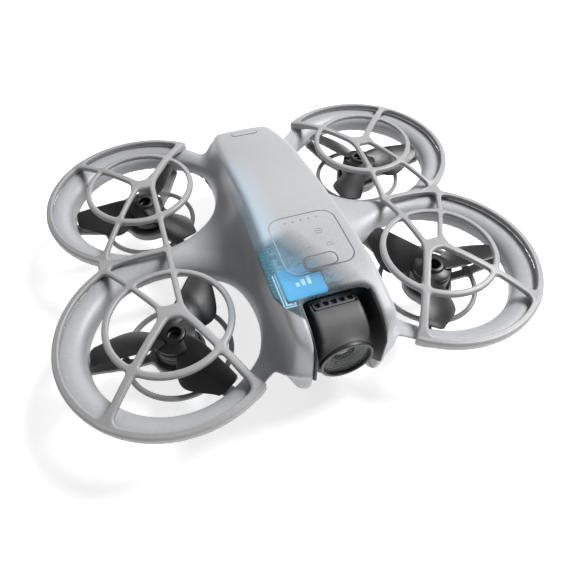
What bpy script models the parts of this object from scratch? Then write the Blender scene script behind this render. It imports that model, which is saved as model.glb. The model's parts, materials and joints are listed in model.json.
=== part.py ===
"""Palm-sized racing quadcopter with four ducted rotors, modelled in metres, +Z up, nose towards -Y.

The origin is on the ground under the middle of the craft. Heights below are measured from the plane
of the guard rims and lifted by RIM_Z when a point is placed.
"""

import math

import bmesh
import bpy
from mathutils import Vector

MM = 0.001

# Overall
RIM_Z = 28.2  # height of the guard rim plane above the ground
DUCT_X = 44.2
DUCT_Y = 30.8
CLEARANCE = 0.3

# Duct and guard
HOLE_R = 25.7
LIP_R = 34.0
LIP_Z = -1.25
THROAT_Z = -5.4
DUCT_FLOOR_Z = -8.0
RIM_R = 33.1
RIM_W = 2.3
RIM_H = 1.8
MID_R = 18.2
MID_W = 2.1
DOME_H = 6.0
SPOKE_W = 2.3
EAR_ANGLE = -125.5
WAIST_ANGLE = 58.8
BAR_X = 40.0
EAR_LEG = ((-4.9, -0.4), (-19.2, -26.8))
WAIST_LEG = ((1.3, 2.5), (15.9, 26.9))
CORNER_LEG = ((1.9, -1.0), (21.2, -24.4))
WEB = (
    (-5.2, 1.3),
    (-3.2, 3.4),
    (2.2, 3.7),
    (3.0, 0.1),
    (3.2, -3.3),
    (1.1, -1.6),
    (-1.2, -1.1),
    (-3.5, -1.6),
    (-5.3, -3.3),
)

# Motor and propeller
CAGE_R = 16.6
CAGE_Z = -13.0
BASE_R = 8.6
BASE_Z = -15.4
STATOR_R = 5.3
BELL_R = 6.7
BELL_TOP = -5.7
BLADE_R = 24.9
BLADE_Z = -4.9
COLLAR_TOP = -2.6

# Fuselage
NOSE_Y = -62.1
NOSE_TURN_Y = -54.2
NOSE_R = 7.95
TAIL_Y = 58.6
BELLY_Z = -28.2
CROWN_Z = 20.3
CROWN_Y = -28.0
CROWN_FRONT_Y = -36.0
PARTING_Z = -8.4
SKIN = 1.5

# Camera bay
PIVOT_Y = -48.5
PIVOT_Z = 3.4
BAY_X = 10.0
BAY_R = 13.9
BAY_TOP_Y = -45.6
DRUM_R = 11.5
DRUM_X = 7.2
LENS_Y = -59.2
LENS_R = 8.0
AXLE_R = 1.3

# Top controls
PANEL_X = 9.7
PANEL_REAR_Y = -16.9
PANEL_FRONT_Y = -38.7
BUTTON_X = 4.6
BUTTON_Y = -35.8
BUTTON_LEN = 4.2
POWER_Y = 47.5
POWER_X = 4.9

# Electronics and battery
BOARD_Z = 16.6
BOARD_REAR_Y = -18.8
BOARD_FRONT_Y = -40.6
POWER_BOARD_Z = 4.0
MEMORY_X = -6.65
MEMORY_Y = -39.35
BATTERY_X = 11.4
BATTERY_FRONT_Y = -3.0
BATTERY_TOP_Z = -15.8

SIDES = (("left", -1.0), ("right", 1.0))
ENDS = (("front", -1.0), ("rear", 1.0))


def clear_scene():
    for obj in list(bpy.data.objects):
        bpy.data.objects.remove(obj, do_unlink=True)
    for mesh in list(bpy.data.meshes):
        bpy.data.meshes.remove(mesh)


def paint(name, colour, roughness, metallic=0.0):
    material = bpy.data.materials.new(name)
    material.use_nodes = True
    shader = material.node_tree.nodes["Principled BSDF"]
    shader.inputs["Base Color"].default_value = (*colour, 1.0)
    shader.inputs["Roughness"].default_value = roughness
    shader.inputs["Metallic"].default_value = metallic
    return material


def solid(name, points, faces, smooth=False):
    """An object from points in millimetres, their height taken from the rim plane."""
    mesh = bpy.data.meshes.new(name)
    mesh.from_pydata([(x * MM, y * MM, (z + RIM_Z) * MM) for x, y, z in points], [], faces)
    shaped = bmesh.new()
    shaped.from_mesh(mesh)
    bmesh.ops.recalc_face_normals(shaped, faces=shaped.faces)
    bmesh.ops.triangulate(shaped, faces=shaped.faces)
    shaped.to_mesh(mesh)
    shaped.free()
    for polygon in mesh.polygons:
        polygon.use_smooth = smooth
    obj = bpy.data.objects.new(name, mesh)
    bpy.context.scene.collection.objects.link(obj)
    return obj


def loft(name, rings, closed=False, smooth=False):
    """Skin over rings of equal length. Closed joins the last ring to the first, or else both ends are capped."""
    count = len(rings[0])
    points = [point for ring in rings for point in ring]
    faces = []
    spans = len(rings) if closed else len(rings) - 1
    for i in range(spans):
        j = (i + 1) % len(rings)
        for k in range(count):
            n = (k + 1) % count
            faces.append((i * count + k, i * count + n, j * count + n, j * count + k))
    if not closed:
        faces.append(tuple(range(count)))
        faces.append(tuple(range((len(rings) - 1) * count, len(rings) * count)))
    return solid(name, points, faces, smooth)


def lathe(name, centre, profile, steps=40, axis="Z", smooth=True):
    """Turns a closed (radius, height) outline about an axis through centre."""
    rings = []
    for i in range(steps):
        angle = 2 * math.pi * i / steps
        ring = []
        for radius, height in profile:
            across = radius * math.cos(angle)
            along = radius * math.sin(angle)
            if axis == "Z":
                offset = (across, along, height)
            elif axis == "Y":
                offset = (across, height, along)
            else:
                offset = (height, across, along)
            ring.append(tuple(c + o for c, o in zip(centre, offset)))
        rings.append(ring)
    return loft(name, rings, closed=True, smooth=smooth)


def drum(name, centre, radius, low, high, steps=32, axis="Z"):
    """A plain cylinder between two heights along an axis."""
    rings = []
    for height in (low, high):
        ring = []
        for i in range(steps):
            angle = 2 * math.pi * i / steps
            across = radius * math.cos(angle)
            along = radius * math.sin(angle)
            if axis == "Z":
                offset = (across, along, height)
            elif axis == "Y":
                offset = (across, height, along)
            else:
                offset = (height, across, along)
            ring.append(tuple(c + o for c, o in zip(centre, offset)))
        rings.append(ring)
    return loft(name, rings)


def block(name, low, high):
    """A box between two corners."""
    ring = [(low[0], low[1]), (high[0], low[1]), (high[0], high[1]), (low[0], high[1])]
    return loft(name, [[(x, y, z) for x, y in ring] for z in (low[2], high[2])])


def rounded(half_x, half_y, radius, steps=4):
    """A rounded rectangle about the origin, as (x, y) corners."""
    outline = []
    for turn, (sx, sy) in enumerate(((1, 1), (-1, 1), (-1, -1), (1, -1))):
        for i in range(steps + 1):
            angle = math.pi / 2 * (turn + i / steps)
            x = sx * (half_x - radius) + radius * math.cos(angle)
            y = sy * (half_y - radius) + radius * math.sin(angle)
            outline.append((x, y))
    return outline


def plate(name, outline, centre, low, high):
    """A flat plate with the given (x, y) outline about centre."""
    rings = [[(centre[0] + x, centre[1] + y, z) for x, y in outline] for z in (low, high)]
    return loft(name, rings)


def sweep(name, path, width, height, closed=False):
    """A bar of rectangular section along a path, its sides kept upright."""
    rings = []
    last = len(path) - 1
    for i, point in enumerate(path):
        before = path[(i - 1) % len(path)] if closed or i > 0 else point
        after = path[(i + 1) % len(path)] if closed or i < last else point
        run = Vector((after[0] - before[0], after[1] - before[1], 0.0)).normalized()
        across = Vector((-run.y, run.x, 0.0)) * (width / 2)
        ring = []
        for side, lift in ((1, -1), (1, 1), (-1, 1), (-1, -1)):
            ring.append(
                (
                    point[0] + side * across.x,
                    point[1] + side * across.y,
                    point[2] + lift * height / 2,
                )
            )
        rings.append(ring)
    return loft(name, rings, closed=closed)


def merge(target, tool, operation="UNION"):
    """Adds a tool to the target, or cuts it away, and removes the tool."""
    step = target.modifiers.new("step", "BOOLEAN")
    step.operation = operation
    step.solver = "EXACT"
    step.object = tool
    bpy.context.view_layer.update()
    graph = bpy.context.evaluated_depsgraph_get()
    shaped = bpy.data.meshes.new_from_object(target.evaluated_get(graph))
    target.modifiers.remove(step)
    target.data = shaped
    bpy.data.objects.remove(tool, do_unlink=True)
    return target


def cut(target, tool):
    return merge(target, tool, "DIFFERENCE")


def finish(obj, material, pivot=None, smooth=None):
    """Gives the piece its material and moves its origin to the pivot."""
    obj.data.name = obj.name
    obj.data.materials.clear()
    obj.data.materials.append(material)
    if smooth is not None:
        for polygon in obj.data.polygons:
            polygon.use_smooth = smooth
    if pivot is not None:
        place = Vector((pivot[0] * MM, pivot[1] * MM, (pivot[2] + RIM_Z) * MM))
        for vertex in obj.data.vertices:
            vertex.co -= place
        obj.location = place
    return obj


def crown(y):
    """Height of the top centre line: a low hump that falls to the tail and turns down over a blunt nose."""
    if y < CROWN_FRONT_Y:
        height = CROWN_Z - 0.0075 * (CROWN_FRONT_Y - y) ** 2
        run = max(NOSE_TURN_Y - y, 0.0)
        return height - NOSE_R + math.sqrt(NOSE_R**2 - run**2)
    return CROWN_Z - 0.00513 * max(y - CROWN_Y, 0.0) ** 1.82


def belly(y):
    """Height of the underside: flat, sweeping up under the nose and rounded at the tail."""
    if y < -16.0:
        run = min((-16.0 - y) / (-16.0 - NOSE_Y), 1.0)
        return -3.0 + (BELLY_Z + 3.0) * (1.0 - run**1.7) ** (1 / 1.5)
    run = max(y - TAIL_Y + 2.0, 0.0) / 2.0
    return BELLY_Z + 2.0 * (1.0 - math.sqrt(1.0 - min(run, 1.0) ** 2))


def half_width(y):
    """Half the fuselage's width at its top edge."""
    ease = min(max(-y / 40.0, 0.0), 1.0)
    taper = max(y - 20.0, 0.0) / 38.0
    return 13.7 + 0.9 * ease * ease * (3 - 2 * ease) - 3.2 * taper**2.2


def fuselage_ring(y, inset=0.0):
    """One cross-section: a crowned top with tight edges, sides that swell to the rim, a narrower keel."""
    top = crown(y) - inset
    low = belly(y) + inset
    wide = half_width(y) - inset
    span = max(top - low, 0.6)
    edge = min(1.6, span * 0.2)
    swell = 3.4 * min(max((TAIL_Y - abs(y)) / 10.0, 0.0), 1.0)
    outline = []
    for share, drop in ((0.45, 0.25), (0.86, 0.7)):
        outline.append((wide * share, top - drop * edge * 0.6))
    outline.append((wide, top - edge - 0.4))
    for share in (0.4, 0.68):
        level = top - share * span
        bulge = max(0.0, 1.0 - abs(level + 4.0) / 14.0)
        outline.append((wide + swell * bulge, level))
    outline.append((wide - 0.6, low + 0.16 * span))
    outline.append((wide - 3.0, low))
    right = [(x, y, z) for x, z in outline]
    left = [(-x, y, z) for x, z in reversed(outline)]
    return right + left


def fuselage(name, inset=0.0, front=NOSE_Y + 0.3, back=TAIL_Y):
    """The whole fuselage as one skin between two stations, or its inside when inset."""
    count = 18
    rings = []
    for i in range(count + 1):
        share = 0.5 - 0.5 * math.cos(math.pi * i / count)
        y = front + (back - front) * share
        rings.append(fuselage_ring(y, inset))
    return loft(name, rings, smooth=True)


def shoulder(name, side):
    """The flared side of the shell that spreads from the fuselage wall out to the duct lips."""
    rings = []
    reach = 26.6
    count = 16
    for i in range(count + 1):
        y = -(DUCT_Y + reach) + 2 * (DUCT_Y + reach) * i / count
        out = DUCT_X - math.sqrt((LIP_R - 1.0) ** 2 - (abs(y) - DUCT_Y) ** 2)
        out = max(out, 14.0)
        share = min(max((out - 14.0) / 12.0, 0.0), 1.0)
        outline = (
            (9.0, 4.0 + 5.0 * share),
            (13.9, 3.5 + 5.0 * share),
            (14.6 + 1.2 * share, 0.4 + 3.4 * share),
            (15.4 + 4.0 * share, -0.6 + 1.2 * share),
            (out + 0.6, LIP_Z - 0.05),
            (out + 0.6, DUCT_FLOOR_Z + 3.6),
            (9.0, DUCT_FLOOR_Z + 0.1),
        )
        rings.append([(side * x, y, z) for x, z in outline])
    return loft(name, rings)


def duct_ring(name, centre, steps):
    """Bell-mouthed lip and short throat of one duct."""
    profile = (
        (LIP_R, LIP_Z - 0.15),
        (31.4, LIP_Z),
        (28.6, -1.9),
        (26.4, -3.5),
        (HOLE_R, THROAT_Z),
        (HOLE_R, DUCT_FLOOR_Z),
        (27.1, DUCT_FLOOR_Z),
        (28.6, -4.0),
        (LIP_R, LIP_Z - 1.3),
    )
    return lathe(name, centre, profile, steps)


def nose_bay(name):
    """Tool that opens the nose to the front and below, with a round back wall about the camera axle."""
    bay = drum(name, (0.0, PIVOT_Y, PIVOT_Z), BAY_R, -BAY_X, BAY_X, 32, "X")
    merge(bay, block("mouth", (-BAY_X - 0.01, -70.0, -40.0), (BAY_X + 0.01, BAY_TOP_Y, 30.0)))
    return merge(bay, block("foot", (-BAY_X + 0.01, -50.0, -41.0), (BAY_X - 0.01, -38.0, PIVOT_Z)))


def make_upper_shell(skin):
    shell = fuselage("upper_shell")
    for _, sx in SIDES:
        merge(shell, shoulder("shoulder", sx))
    for _, sx in SIDES:
        for _, sy in ENDS:
            centre = (sx * DUCT_X, sy * DUCT_Y, 0.0)
            merge(shell, duct_ring("ring", centre, 31 - int(sy)))
    cut(shell, nose_bay("bay"))
    cut(shell, block("below", (-40.0, -80.0, -60.0), (40.0, 80.0, PARTING_Z)))
    cut(shell, fuselage("cavity", SKIN, -32.0, TAIL_Y - 2.0))
    cut(shell, block("board_room", (-12.7, BOARD_FRONT_Y - 0.4, 15.8), (9.1, -30.0, 18.05)))
    cut(shell, block("memory_room", (-12.75, -44.9, 16.55), (-0.5, -33.0, 18.06)))
    for _, sx in SIDES:
        near = sx * 10.4
        far = sx * 14.5
        low = (min(near, far), -37.4, 2.4)
        cut(shell, block("tongue_room", low, (max(near, far), -30.5, 8.0)))
    half = (PANEL_REAR_Y - PANEL_FRONT_Y) / 2
    middle = (0.0, (PANEL_REAR_Y + PANEL_FRONT_Y) / 2)
    seat = rounded(PANEL_X + CLEARANCE, half + CLEARANCE, 2.6)
    cut(shell, plate("panel_seat", seat, middle, CROWN_Z - 1.65, 40.0))
    cut(shell, plate("panel_way", rounded(7.0, half - 0.5, 1.0), middle, CROWN_Z - 6.0, 40.0))
    power = rounded(POWER_X + CLEARANCE, 1.9 + CLEARANCE, 1.4)
    cut(shell, plate("power_way", power, (0.0, POWER_Y), crown(POWER_Y) - 4.0, 40.0))
    cut(shell, block("port_way", (-5.0, 50.0, -6.2), (5.0, 70.0, -2.4)))
    finish(shell, skin, smooth=True)


def make_lower_shell(skin):
    shell = fuselage("lower_shell")
    cut(shell, block("above", (-60.0, -80.0, PARTING_Z - CLEARANCE), (60.0, 80.0, 60.0)))
    cut(shell, nose_bay("bay"))
    cut(shell, block("room", (-12.0, -31.0, BELLY_Z + 9.0), (12.0, BATTERY_FRONT_Y - 2.0, 0.0)))
    cut(shell, block("deck", (-11.2, -6.0, BATTERY_TOP_Z + 2.0), (11.2, 52.0, 1.0)))
    side = BATTERY_X + CLEARANCE
    front = BATTERY_FRONT_Y - CLEARANCE
    cut(shell, block("slot", (-side, front, -40.0), (side, 80.0, BATTERY_TOP_Z + CLEARANCE)))
    for _, sx in SIDES:
        middle = sx * (BATTERY_X + 2.0)
        cut(shell, block("latchway", (middle - 3.0, 27.7, -22.3), (middle + 3.0, 38.3, -18.7)))
    cut(shell, drum("sensor_way", (0.0, -20.0, 0.0), 4.3, -40.0, BELLY_Z + 12.0, 28))
    cut(shell, drum("range_way", (-7.4, -12.0, 0.0), 1.9, -40.0, BELLY_Z + 12.0, 20))
    finish(shell, skin, smooth=False)


def dome(x, y, cx, cy):
    """Height of a guard above the rim plane: a shallow dome over each rotor."""
    reach = min(math.hypot(x - cx, y - cy) / RIM_R, 1.0)
    return DOME_H * (1.0 - reach * reach)


def at_dome(x, y, sx, sy):
    """A point of the guard given from a rotor axis, x outwards and y towards the waist."""
    cx = sx * DUCT_X
    cy = sy * DUCT_Y
    return (cx + sx * x, cy - sy * y, DOME_H * (1.0 - (x * x + y * y) / RIM_R**2))


def on_dome(angle, radius, sx, sy):
    turn = math.radians(angle)
    return at_dome(radius * math.cos(turn), radius * math.sin(turn), sx, sy)


def make_guard(name, sx, material):
    """Two rotor guards in one piece: rims, inner circles, spokes, the long bar and the waist between them."""
    bar = []
    for i in range(9):
        y = DUCT_Y * (1.0 - i / 4)
        bar.append((sx * BAR_X, y, dome(sx * BAR_X, abs(y), sx * DUCT_X, DUCT_Y)))
    guard = sweep(name, bar, SPOKE_W, 1.62)
    cross = [(sx * x, 0.0, 0.2) for x in (BAR_X - 1.3, 50.0, 62.9)]
    merge(guard, sweep("cross", cross, 2.6, RIM_H + 0.6))
    legs = ((EAR_LEG, 1.5), (WAIST_LEG, 1.54), (CORNER_LEG, 1.46))
    for _, sy in ENDS:
        web = []
        for x, y in WEB:
            px, py, _ = at_dome(x, y, sx, sy)
            web.append((px - sx * DUCT_X, py - sy * DUCT_Y))
        middle = (sx * DUCT_X, sy * DUCT_Y)
        merge(guard, plate("web", web, middle, DOME_H - 0.95, DOME_H + 0.7))
        for (start, stop), height in legs:
            spoke = []
            for share in (0.0, 0.4, 0.75, 1.0):
                x = start[0] + (stop[0] - start[0]) * share
                y = start[1] + (stop[1] - start[1]) * share
                spoke.append(at_dome(x, y, sx, sy))
            merge(guard, sweep("spoke", spoke, SPOKE_W, height))
        count = 21
        arc = []
        for i in range(count + 1):
            angle = EAR_ANGLE + (WAIST_ANGLE - EAR_ANGLE) * i / count
            arc.append(on_dome(angle, RIM_R, sx, sy))
        merge(guard, sweep("rim", arc, RIM_W, RIM_H))
        circle = [on_dome(360 * (i + 0.37) / 24, MID_R, sx, sy) for i in range(24)]
        merge(guard, sweep("mid", circle, MID_W, 1.72, closed=True))
        ear = on_dome(EAR_ANGLE, RIM_R - 0.8, sx, sy)
        merge(guard, plate("ear", rounded(1.9, 2.1, 0.7, 2), ear[:2], -0.82, 1.17))
    finish(guard, material)


def make_mount(name, sx, sy, material):
    """Three arms and a ring that carry the motor under its duct."""
    cx = sx * DUCT_X
    cy = sy * DUCT_Y
    base = (
        (0.9, BASE_Z),
        (BASE_R, BASE_Z + 0.6),
        (BASE_R, BASE_Z + 3.4),
        (BASE_R - 1.1, BASE_Z + 3.4),
        (BASE_R - 1.1, BASE_Z + 2.0),
        (0.9, BASE_Z + 2.0),
    )
    mount = lathe(name, (cx, cy, 0.0), base, 16)
    circle = []
    for i in range(20):
        turn = 2 * math.pi * i / 20
        circle.append((cx + CAGE_R * math.cos(turn), cy + CAGE_R * math.sin(turn), CAGE_Z))
    merge(mount, sweep("ring", circle, 1.6, 1.9, closed=True))
    for i in range(3):
        turn = 2 * math.pi * i / 3
        ux = sx * math.cos(turn)
        uy = math.sin(turn)
        arm = []
        for radius, height in ((8.0, -13.75), (17.0, -13.4), (22.5, -11.6), (26.5, -9.6)):
            arm.append((cx + ux * radius, cy + uy * radius, height))
        merge(mount, sweep("arm", arm, 3.2, 1.5))
        foot = (cx + ux * 26.25, cy + uy * 26.25, 0.0)
        merge(mount, drum("foot", foot, 1.1, -10.2, DUCT_FLOOR_Z - CLEARANCE, 8))
    finish(mount, material)


def make_motor(corner, sx, sy, core, shell):
    cx = sx * DUCT_X
    cy = sy * DUCT_Y
    outline = []
    teeth = 6
    for i in range(teeth):
        for share, radius in ((0.0, 3.2), (0.2, 3.2), (0.25, STATOR_R), (0.95, STATOR_R)):
            turn = 2 * math.pi * (i + share) / teeth
            outline.append((radius * math.cos(turn), radius * math.sin(turn)))
    low = BASE_Z + 2.0 + CLEARANCE
    stator = plate(f"{corner}_motor_stator", outline, (cx, cy), low, BELL_TOP - 1.3)
    cut(stator, drum("bore", (cx, cy, 0.0), 1.2, -30.0, 0.0, 10))
    finish(stator, core)
    bell = (
        (0.0, BELL_TOP),
        (5.2, BELL_TOP),
        (BELL_R, BELL_TOP - 1.2),
        (BELL_R, low + 2.2),
        (BELL_R - 0.9, low + 2.2),
        (BELL_R - 0.9, BELL_TOP - 1.0),
        (0.8, BELL_TOP - 1.0),
        (0.8, BASE_Z + 0.3),
        (0.0, BASE_Z + 0.3),
    )
    rotor = spun(f"{corner}_motor_bell", (cx, cy, 0.0), bell, 16)
    finish(rotor, shell, (cx, cy, BELL_TOP))


def spun(name, centre, profile, steps=28, axis="Z"):
    """Turns an open outline that begins and ends on the axis."""
    inner = profile[1:-1]
    count = len(inner)
    places = []

    def put(radius, height, angle):
        across = radius * math.cos(angle)
        along = radius * math.sin(angle)
        offset = (across, along, height) if axis == "Z" else (across, height, along)
        return tuple(c + o for c, o in zip(centre, offset))

    for i in range(steps):
        for radius, height in inner:
            places.append(put(radius, height, 2 * math.pi * i / steps))
    first = len(places)
    places.append(put(0.0, profile[0][1], 0.0))
    places.append(put(0.0, profile[-1][1], 0.0))
    faces = []
    for i in range(steps):
        j = (i + 1) % steps
        for k in range(count - 1):
            faces.append((i * count + k, i * count + k + 1, j * count + k + 1, j * count + k))
        faces.append((first, i * count, j * count))
        faces.append((first + 1, j * count + count - 1, i * count + count - 1))
    return solid(name, places, faces, smooth=True)


def make_propeller(corner, sx, sy, material):
    """Three broad blades on a disc with an open collar."""
    cx = sx * DUCT_X
    cy = sy * DUCT_Y
    low = BELL_TOP + CLEARANCE
    hub = (
        (1.9, low),
        (6.0, low),
        (5.6, low + 1.4),
        (3.5, low + 1.9),
        (3.4, COLLAR_TOP),
        (2.3, COLLAR_TOP),
        (1.9, COLLAR_TOP - 1.2),
    )
    prop = lathe(f"{corner}_propeller", (cx, cy, 0.0), hub, 14)
    for blade in range(3):
        turn = 2 * math.pi * blade / 3
        rings = []
        for i in range(5):
            share = i / 4
            radius = 3.6 + (BLADE_R - 3.8) * share
            chord = 5.2 + 5.4 * math.sin(math.pi * min(share * 0.95 + 0.08, 1.0)) ** 0.8
            chord *= 1.0 - 0.35 * max(share - 0.8, 0.0) / 0.2
            pitch = math.radians(30.0 - 17.0 * share) * sx * sy
            thick = 1.1 - 0.5 * share
            seat = BLADE_Z + 1.2 * min(max(1.0 - (radius - 5.0) / 6.0, 0.0), 1.0)
            outline = ((-0.5, 0.0), (-0.2, 0.55), (0.25, 0.45), (0.5, 0.0), (0.0, -0.25))
            ring = []
            for along, up in outline:
                fore = along * chord * math.cos(pitch) - up * thick * math.sin(pitch)
                rise = along * chord * math.sin(pitch) + up * thick * math.cos(pitch)
                x = radius * math.cos(turn) - fore * math.sin(turn)
                y = radius * math.sin(turn) + fore * math.cos(turn)
                ring.append((cx + sx * x, cy + y, seat + rise * 0.86))
            rings.append(ring)
        merge(prop, loft("blade", rings))
    finish(prop, material, (cx, cy, BELL_TOP))


def sector(name, inner, outer, start, stop, half_x, steps=14, centre=(PIVOT_Y, PIVOT_Z)):
    """An arc of a drum about the camera axle, angles from the nose direction up over the top."""
    outline = []
    for i in range(steps + 1):
        turn = math.radians(start + (stop - start) * i / steps)
        outline.append((centre[0] - outer * math.cos(turn), centre[1] + outer * math.sin(turn)))
    for i in range(steps, -1, -1):
        turn = math.radians(start + (stop - start) * i / steps)
        outline.append((centre[0] - inner * math.cos(turn), centre[1] + inner * math.sin(turn)))
    rings = [[(x, y, z) for y, z in outline] for x in (-half_x, half_x)]
    return loft(name, rings)


def make_camera(paints):
    pivot = (0.0, PIVOT_Y, PIVOT_Z)
    liner = BAY_X - CLEARANCE
    bracket = sector("camera_bracket", 12.95, 13.5, 128.0, 196.0, liner, 12)
    for _, sx in SIDES:
        cheek = []
        for i in range(20):
            turn = 2 * math.pi * i / 20
            cheek.append((PIVOT_Y - 13.2 * math.cos(turn), PIVOT_Z + 13.2 * math.sin(turn)))
        near = sx * (liner - 0.6)
        far = sx * (liner - 0.02)
        wall = loft("wall", [[(x, y, z) for y, z in cheek] for x in (near, far)])
        merge(bracket, wall)
    cut(bracket, drum("axle_way", pivot, AXLE_R + CLEARANCE, -12.0, 12.0, 20, "X"))
    finish(bracket, paints["black"])

    body = drum("camera_body", pivot, DRUM_R, -DRUM_X, DRUM_X, 36, "X")
    cut(body, block("flat", (-10.0, -70.0, -20.0), (10.0, LENS_Y + 2.2, 20.0)))
    boss = drum("boss", (0.0, 0.0, PIVOT_Z), LENS_R - 0.4, LENS_Y + 1.3, PIVOT_Y - 5.0, 28, "Y")
    merge(body, boss)
    well = drum("well", (0.0, 0.0, PIVOT_Z), LENS_R - 1.4, LENS_Y - 2.0, LENS_Y + 5.4, 24, "Y")
    cut(body, well)
    cut(body, drum("axle_bore", pivot, AXLE_R + CLEARANCE, -12.0, 12.0, 20, "X"))
    cut(body, sector("seat", DRUM_R - 1.2, DRUM_R + 2.0, 91.5, 110.0, 6.5, 6))
    finish(body, paints["camera"], pivot)

    cover = sector("camera_top_cover", DRUM_R - 0.9, DRUM_R - 0.05, 93.3, 108.2, 6.2, 5)
    for i in range(5):
        x = -4.8 + 2.4 * i
        notch = block("notch", (x - 0.75, PIVOT_Y + 1.5, 10.0), (x + 0.75, PIVOT_Y + 3.1, 30.0))
        cut(cover, notch)
    finish(cover, paints["cover"], pivot)

    front = (0.0, 0.0, PIVOT_Z)
    bezel = (
        (LENS_R - 0.8, LENS_Y),
        (LENS_R, LENS_Y),
        (LENS_R, LENS_Y + 1.0),
        (LENS_R - 0.8, LENS_Y + 1.0),
    )
    finish(lathe("lens_bezel", front, bezel, 30, "Y"), paints["black"], pivot)
    window = (
        (0.0, LENS_Y + 0.1),
        (4.0, LENS_Y + 0.2),
        (LENS_R - 1.1, LENS_Y + 0.5),
        (LENS_R - 1.1, LENS_Y + 1.0),
        (0.0, LENS_Y + 1.0),
    )
    finish(spun("lens_window", front, window, 28, "Y"), paints["glass"], pivot)
    barrel = (
        (3.6, LENS_Y + 1.6),
        (LENS_R - 1.8, LENS_Y + 1.6),
        (LENS_R - 1.8, LENS_Y + 5.0),
        (2.6, LENS_Y + 5.0),
        (3.0, LENS_Y + 3.2),
    )
    finish(lathe("lens_barrel", front, barrel, 24, "Y"), paints["black"], pivot)
    element = (
        (0.0, LENS_Y + 1.9),
        (1.6, LENS_Y + 2.2),
        (2.5, LENS_Y + 3.0),
        (2.2, LENS_Y + 4.6),
        (0.0, LENS_Y + 4.6),
    )
    finish(spun("inner_lens", front, element, 18, "Y"), paints["glass"], pivot)
    axle = drum("camera_axle", pivot, AXLE_R, -liner, liner, 20, "X")
    finish(axle, paints["steel"])


def make_controls(paints):
    middle = ((PANEL_REAR_Y + PANEL_FRONT_Y) / 2)
    half = (PANEL_REAR_Y - PANEL_FRONT_Y) / 2
    panel = plate("control_panel", rounded(PANEL_X, half, 2.4), (0.0, middle), CROWN_Z - 1.3, CROWN_Z - 0.1)
    button = rounded(BUTTON_X, BUTTON_LEN / 2, 1.6)
    hole = rounded(BUTTON_X + CLEARANCE, BUTTON_LEN / 2 + CLEARANCE, 1.8)
    cut(panel, plate("button_way", hole, (0.0, BUTTON_Y), 0.0, 40.0))
    for i in range(5):
        cut(panel, drum("pip_way", (-4.9 + 2.45 * i, -18.9, 0.0), 0.75, 0.0, 40.0, 12))
    finish(panel, paints["panel"])
    mode = plate("mode_button", button, (0.0, BUTTON_Y), CROWN_Z - 1.9, CROWN_Z - 0.05)
    finish(mode, paints["panel"], (0.0, BUTTON_Y, CROWN_Z - 0.6))
    guide = block("light_guide", (-5.8, -19.8, CROWN_Z - 2.6), (5.8, -18.0, CROWN_Z - 1.6))
    for i in range(5):
        merge(
            guide,
            drum("pip", (-4.9 + 2.45 * i, -18.9, 0.0), 0.45, CROWN_Z - 1.9, CROWN_Z - 0.1, 12),
        )
    finish(guide, paints["light"])
    top = crown(POWER_Y)
    power = plate("power_button", rounded(POWER_X, 1.9, 1.3), (0.0, POWER_Y), top - 2.4, top + 0.15)
    finish(power, paints["panel"], (0.0, POWER_Y, top))


def make_boards(paints):
    middle = (-1.7, (BOARD_REAR_Y + BOARD_FRONT_Y) / 2)
    outline = rounded(10.5, (BOARD_REAR_Y - BOARD_FRONT_Y) / 2, 0.8, 2)
    board = plate("main_board", outline, middle, BOARD_Z - 0.5, BOARD_Z)
    finish(board, paints["board"])
    power = plate(
        "power_board",
        rounded(13.0, 17.0, 1.0, 2),
        (0.0, -14.6),
        POWER_BOARD_Z - 1.0,
        POWER_BOARD_Z,
    )
    corners = []
    for _, sx in SIDES:
        tongue = (sx * 12.4, -33.0, 0.0)
        merge(
            power,
            plate("tongue", rounded(1.6, 4.0, 0.5, 2), tongue, POWER_BOARD_Z - 0.97, POWER_BOARD_Z - 0.03),
        )
        corners.append((sx * 12.4, -35.2))
        corners.append((sx * 11.2, 0.4))
    for x, y in corners:
        cut(power, drum("screw_way", (x, y, 0.0), 0.75 + CLEARANCE, 0.0, 30.0, 10))
    finish(power, paints["board"])
    for i, (x, y) in enumerate(corners, 1):
        head = (
            (0.0, POWER_BOARD_Z + 1.2),
            (1.3, POWER_BOARD_Z + 1.2),
            (1.3, POWER_BOARD_Z + CLEARANCE),
            (0.7, POWER_BOARD_Z + CLEARANCE),
            (0.7, POWER_BOARD_Z - 1.4),
            (0.0, POWER_BOARD_Z - 1.4),
        )
        finish(spun(f"board_screw_{i}", (x, y, 0.0), head, 12), paints["steel"])


def make_chips(paints):
    low = BOARD_Z + CLEARANCE
    memory = rounded(5.75, 5.15, 0.7, 2)
    chip = plate("memory_module", memory, (MEMORY_X, MEMORY_Y), low, low + 0.9)
    finish(chip, paints["memory"])
    socket = plate("memory_socket", rounded(4.6, 0.8, 0.2, 2), (MEMORY_X, -32.6), low, low + 1.0)
    finish(socket, paints["contact"])
    can = plate("processor_shield", rounded(3.6, 4.0, 0.5, 2), (-6.4, -25.6), low, low + 0.9)
    finish(can, paints["steel"])
    radio = plate("radio_shield", rounded(2.9, 2.8, 0.4, 2), (3.6, -25.4), low, low + 0.9)
    finish(radio, paints["steel"])
    port = block("usb_port", (-4.5, 52.0, -5.9), (4.5, 57.6, -2.7))
    cut(port, block("port_slot", (-3.9, 53.0, -5.3), (3.9, 70.0, -3.3)))
    finish(port, paints["steel"])


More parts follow.
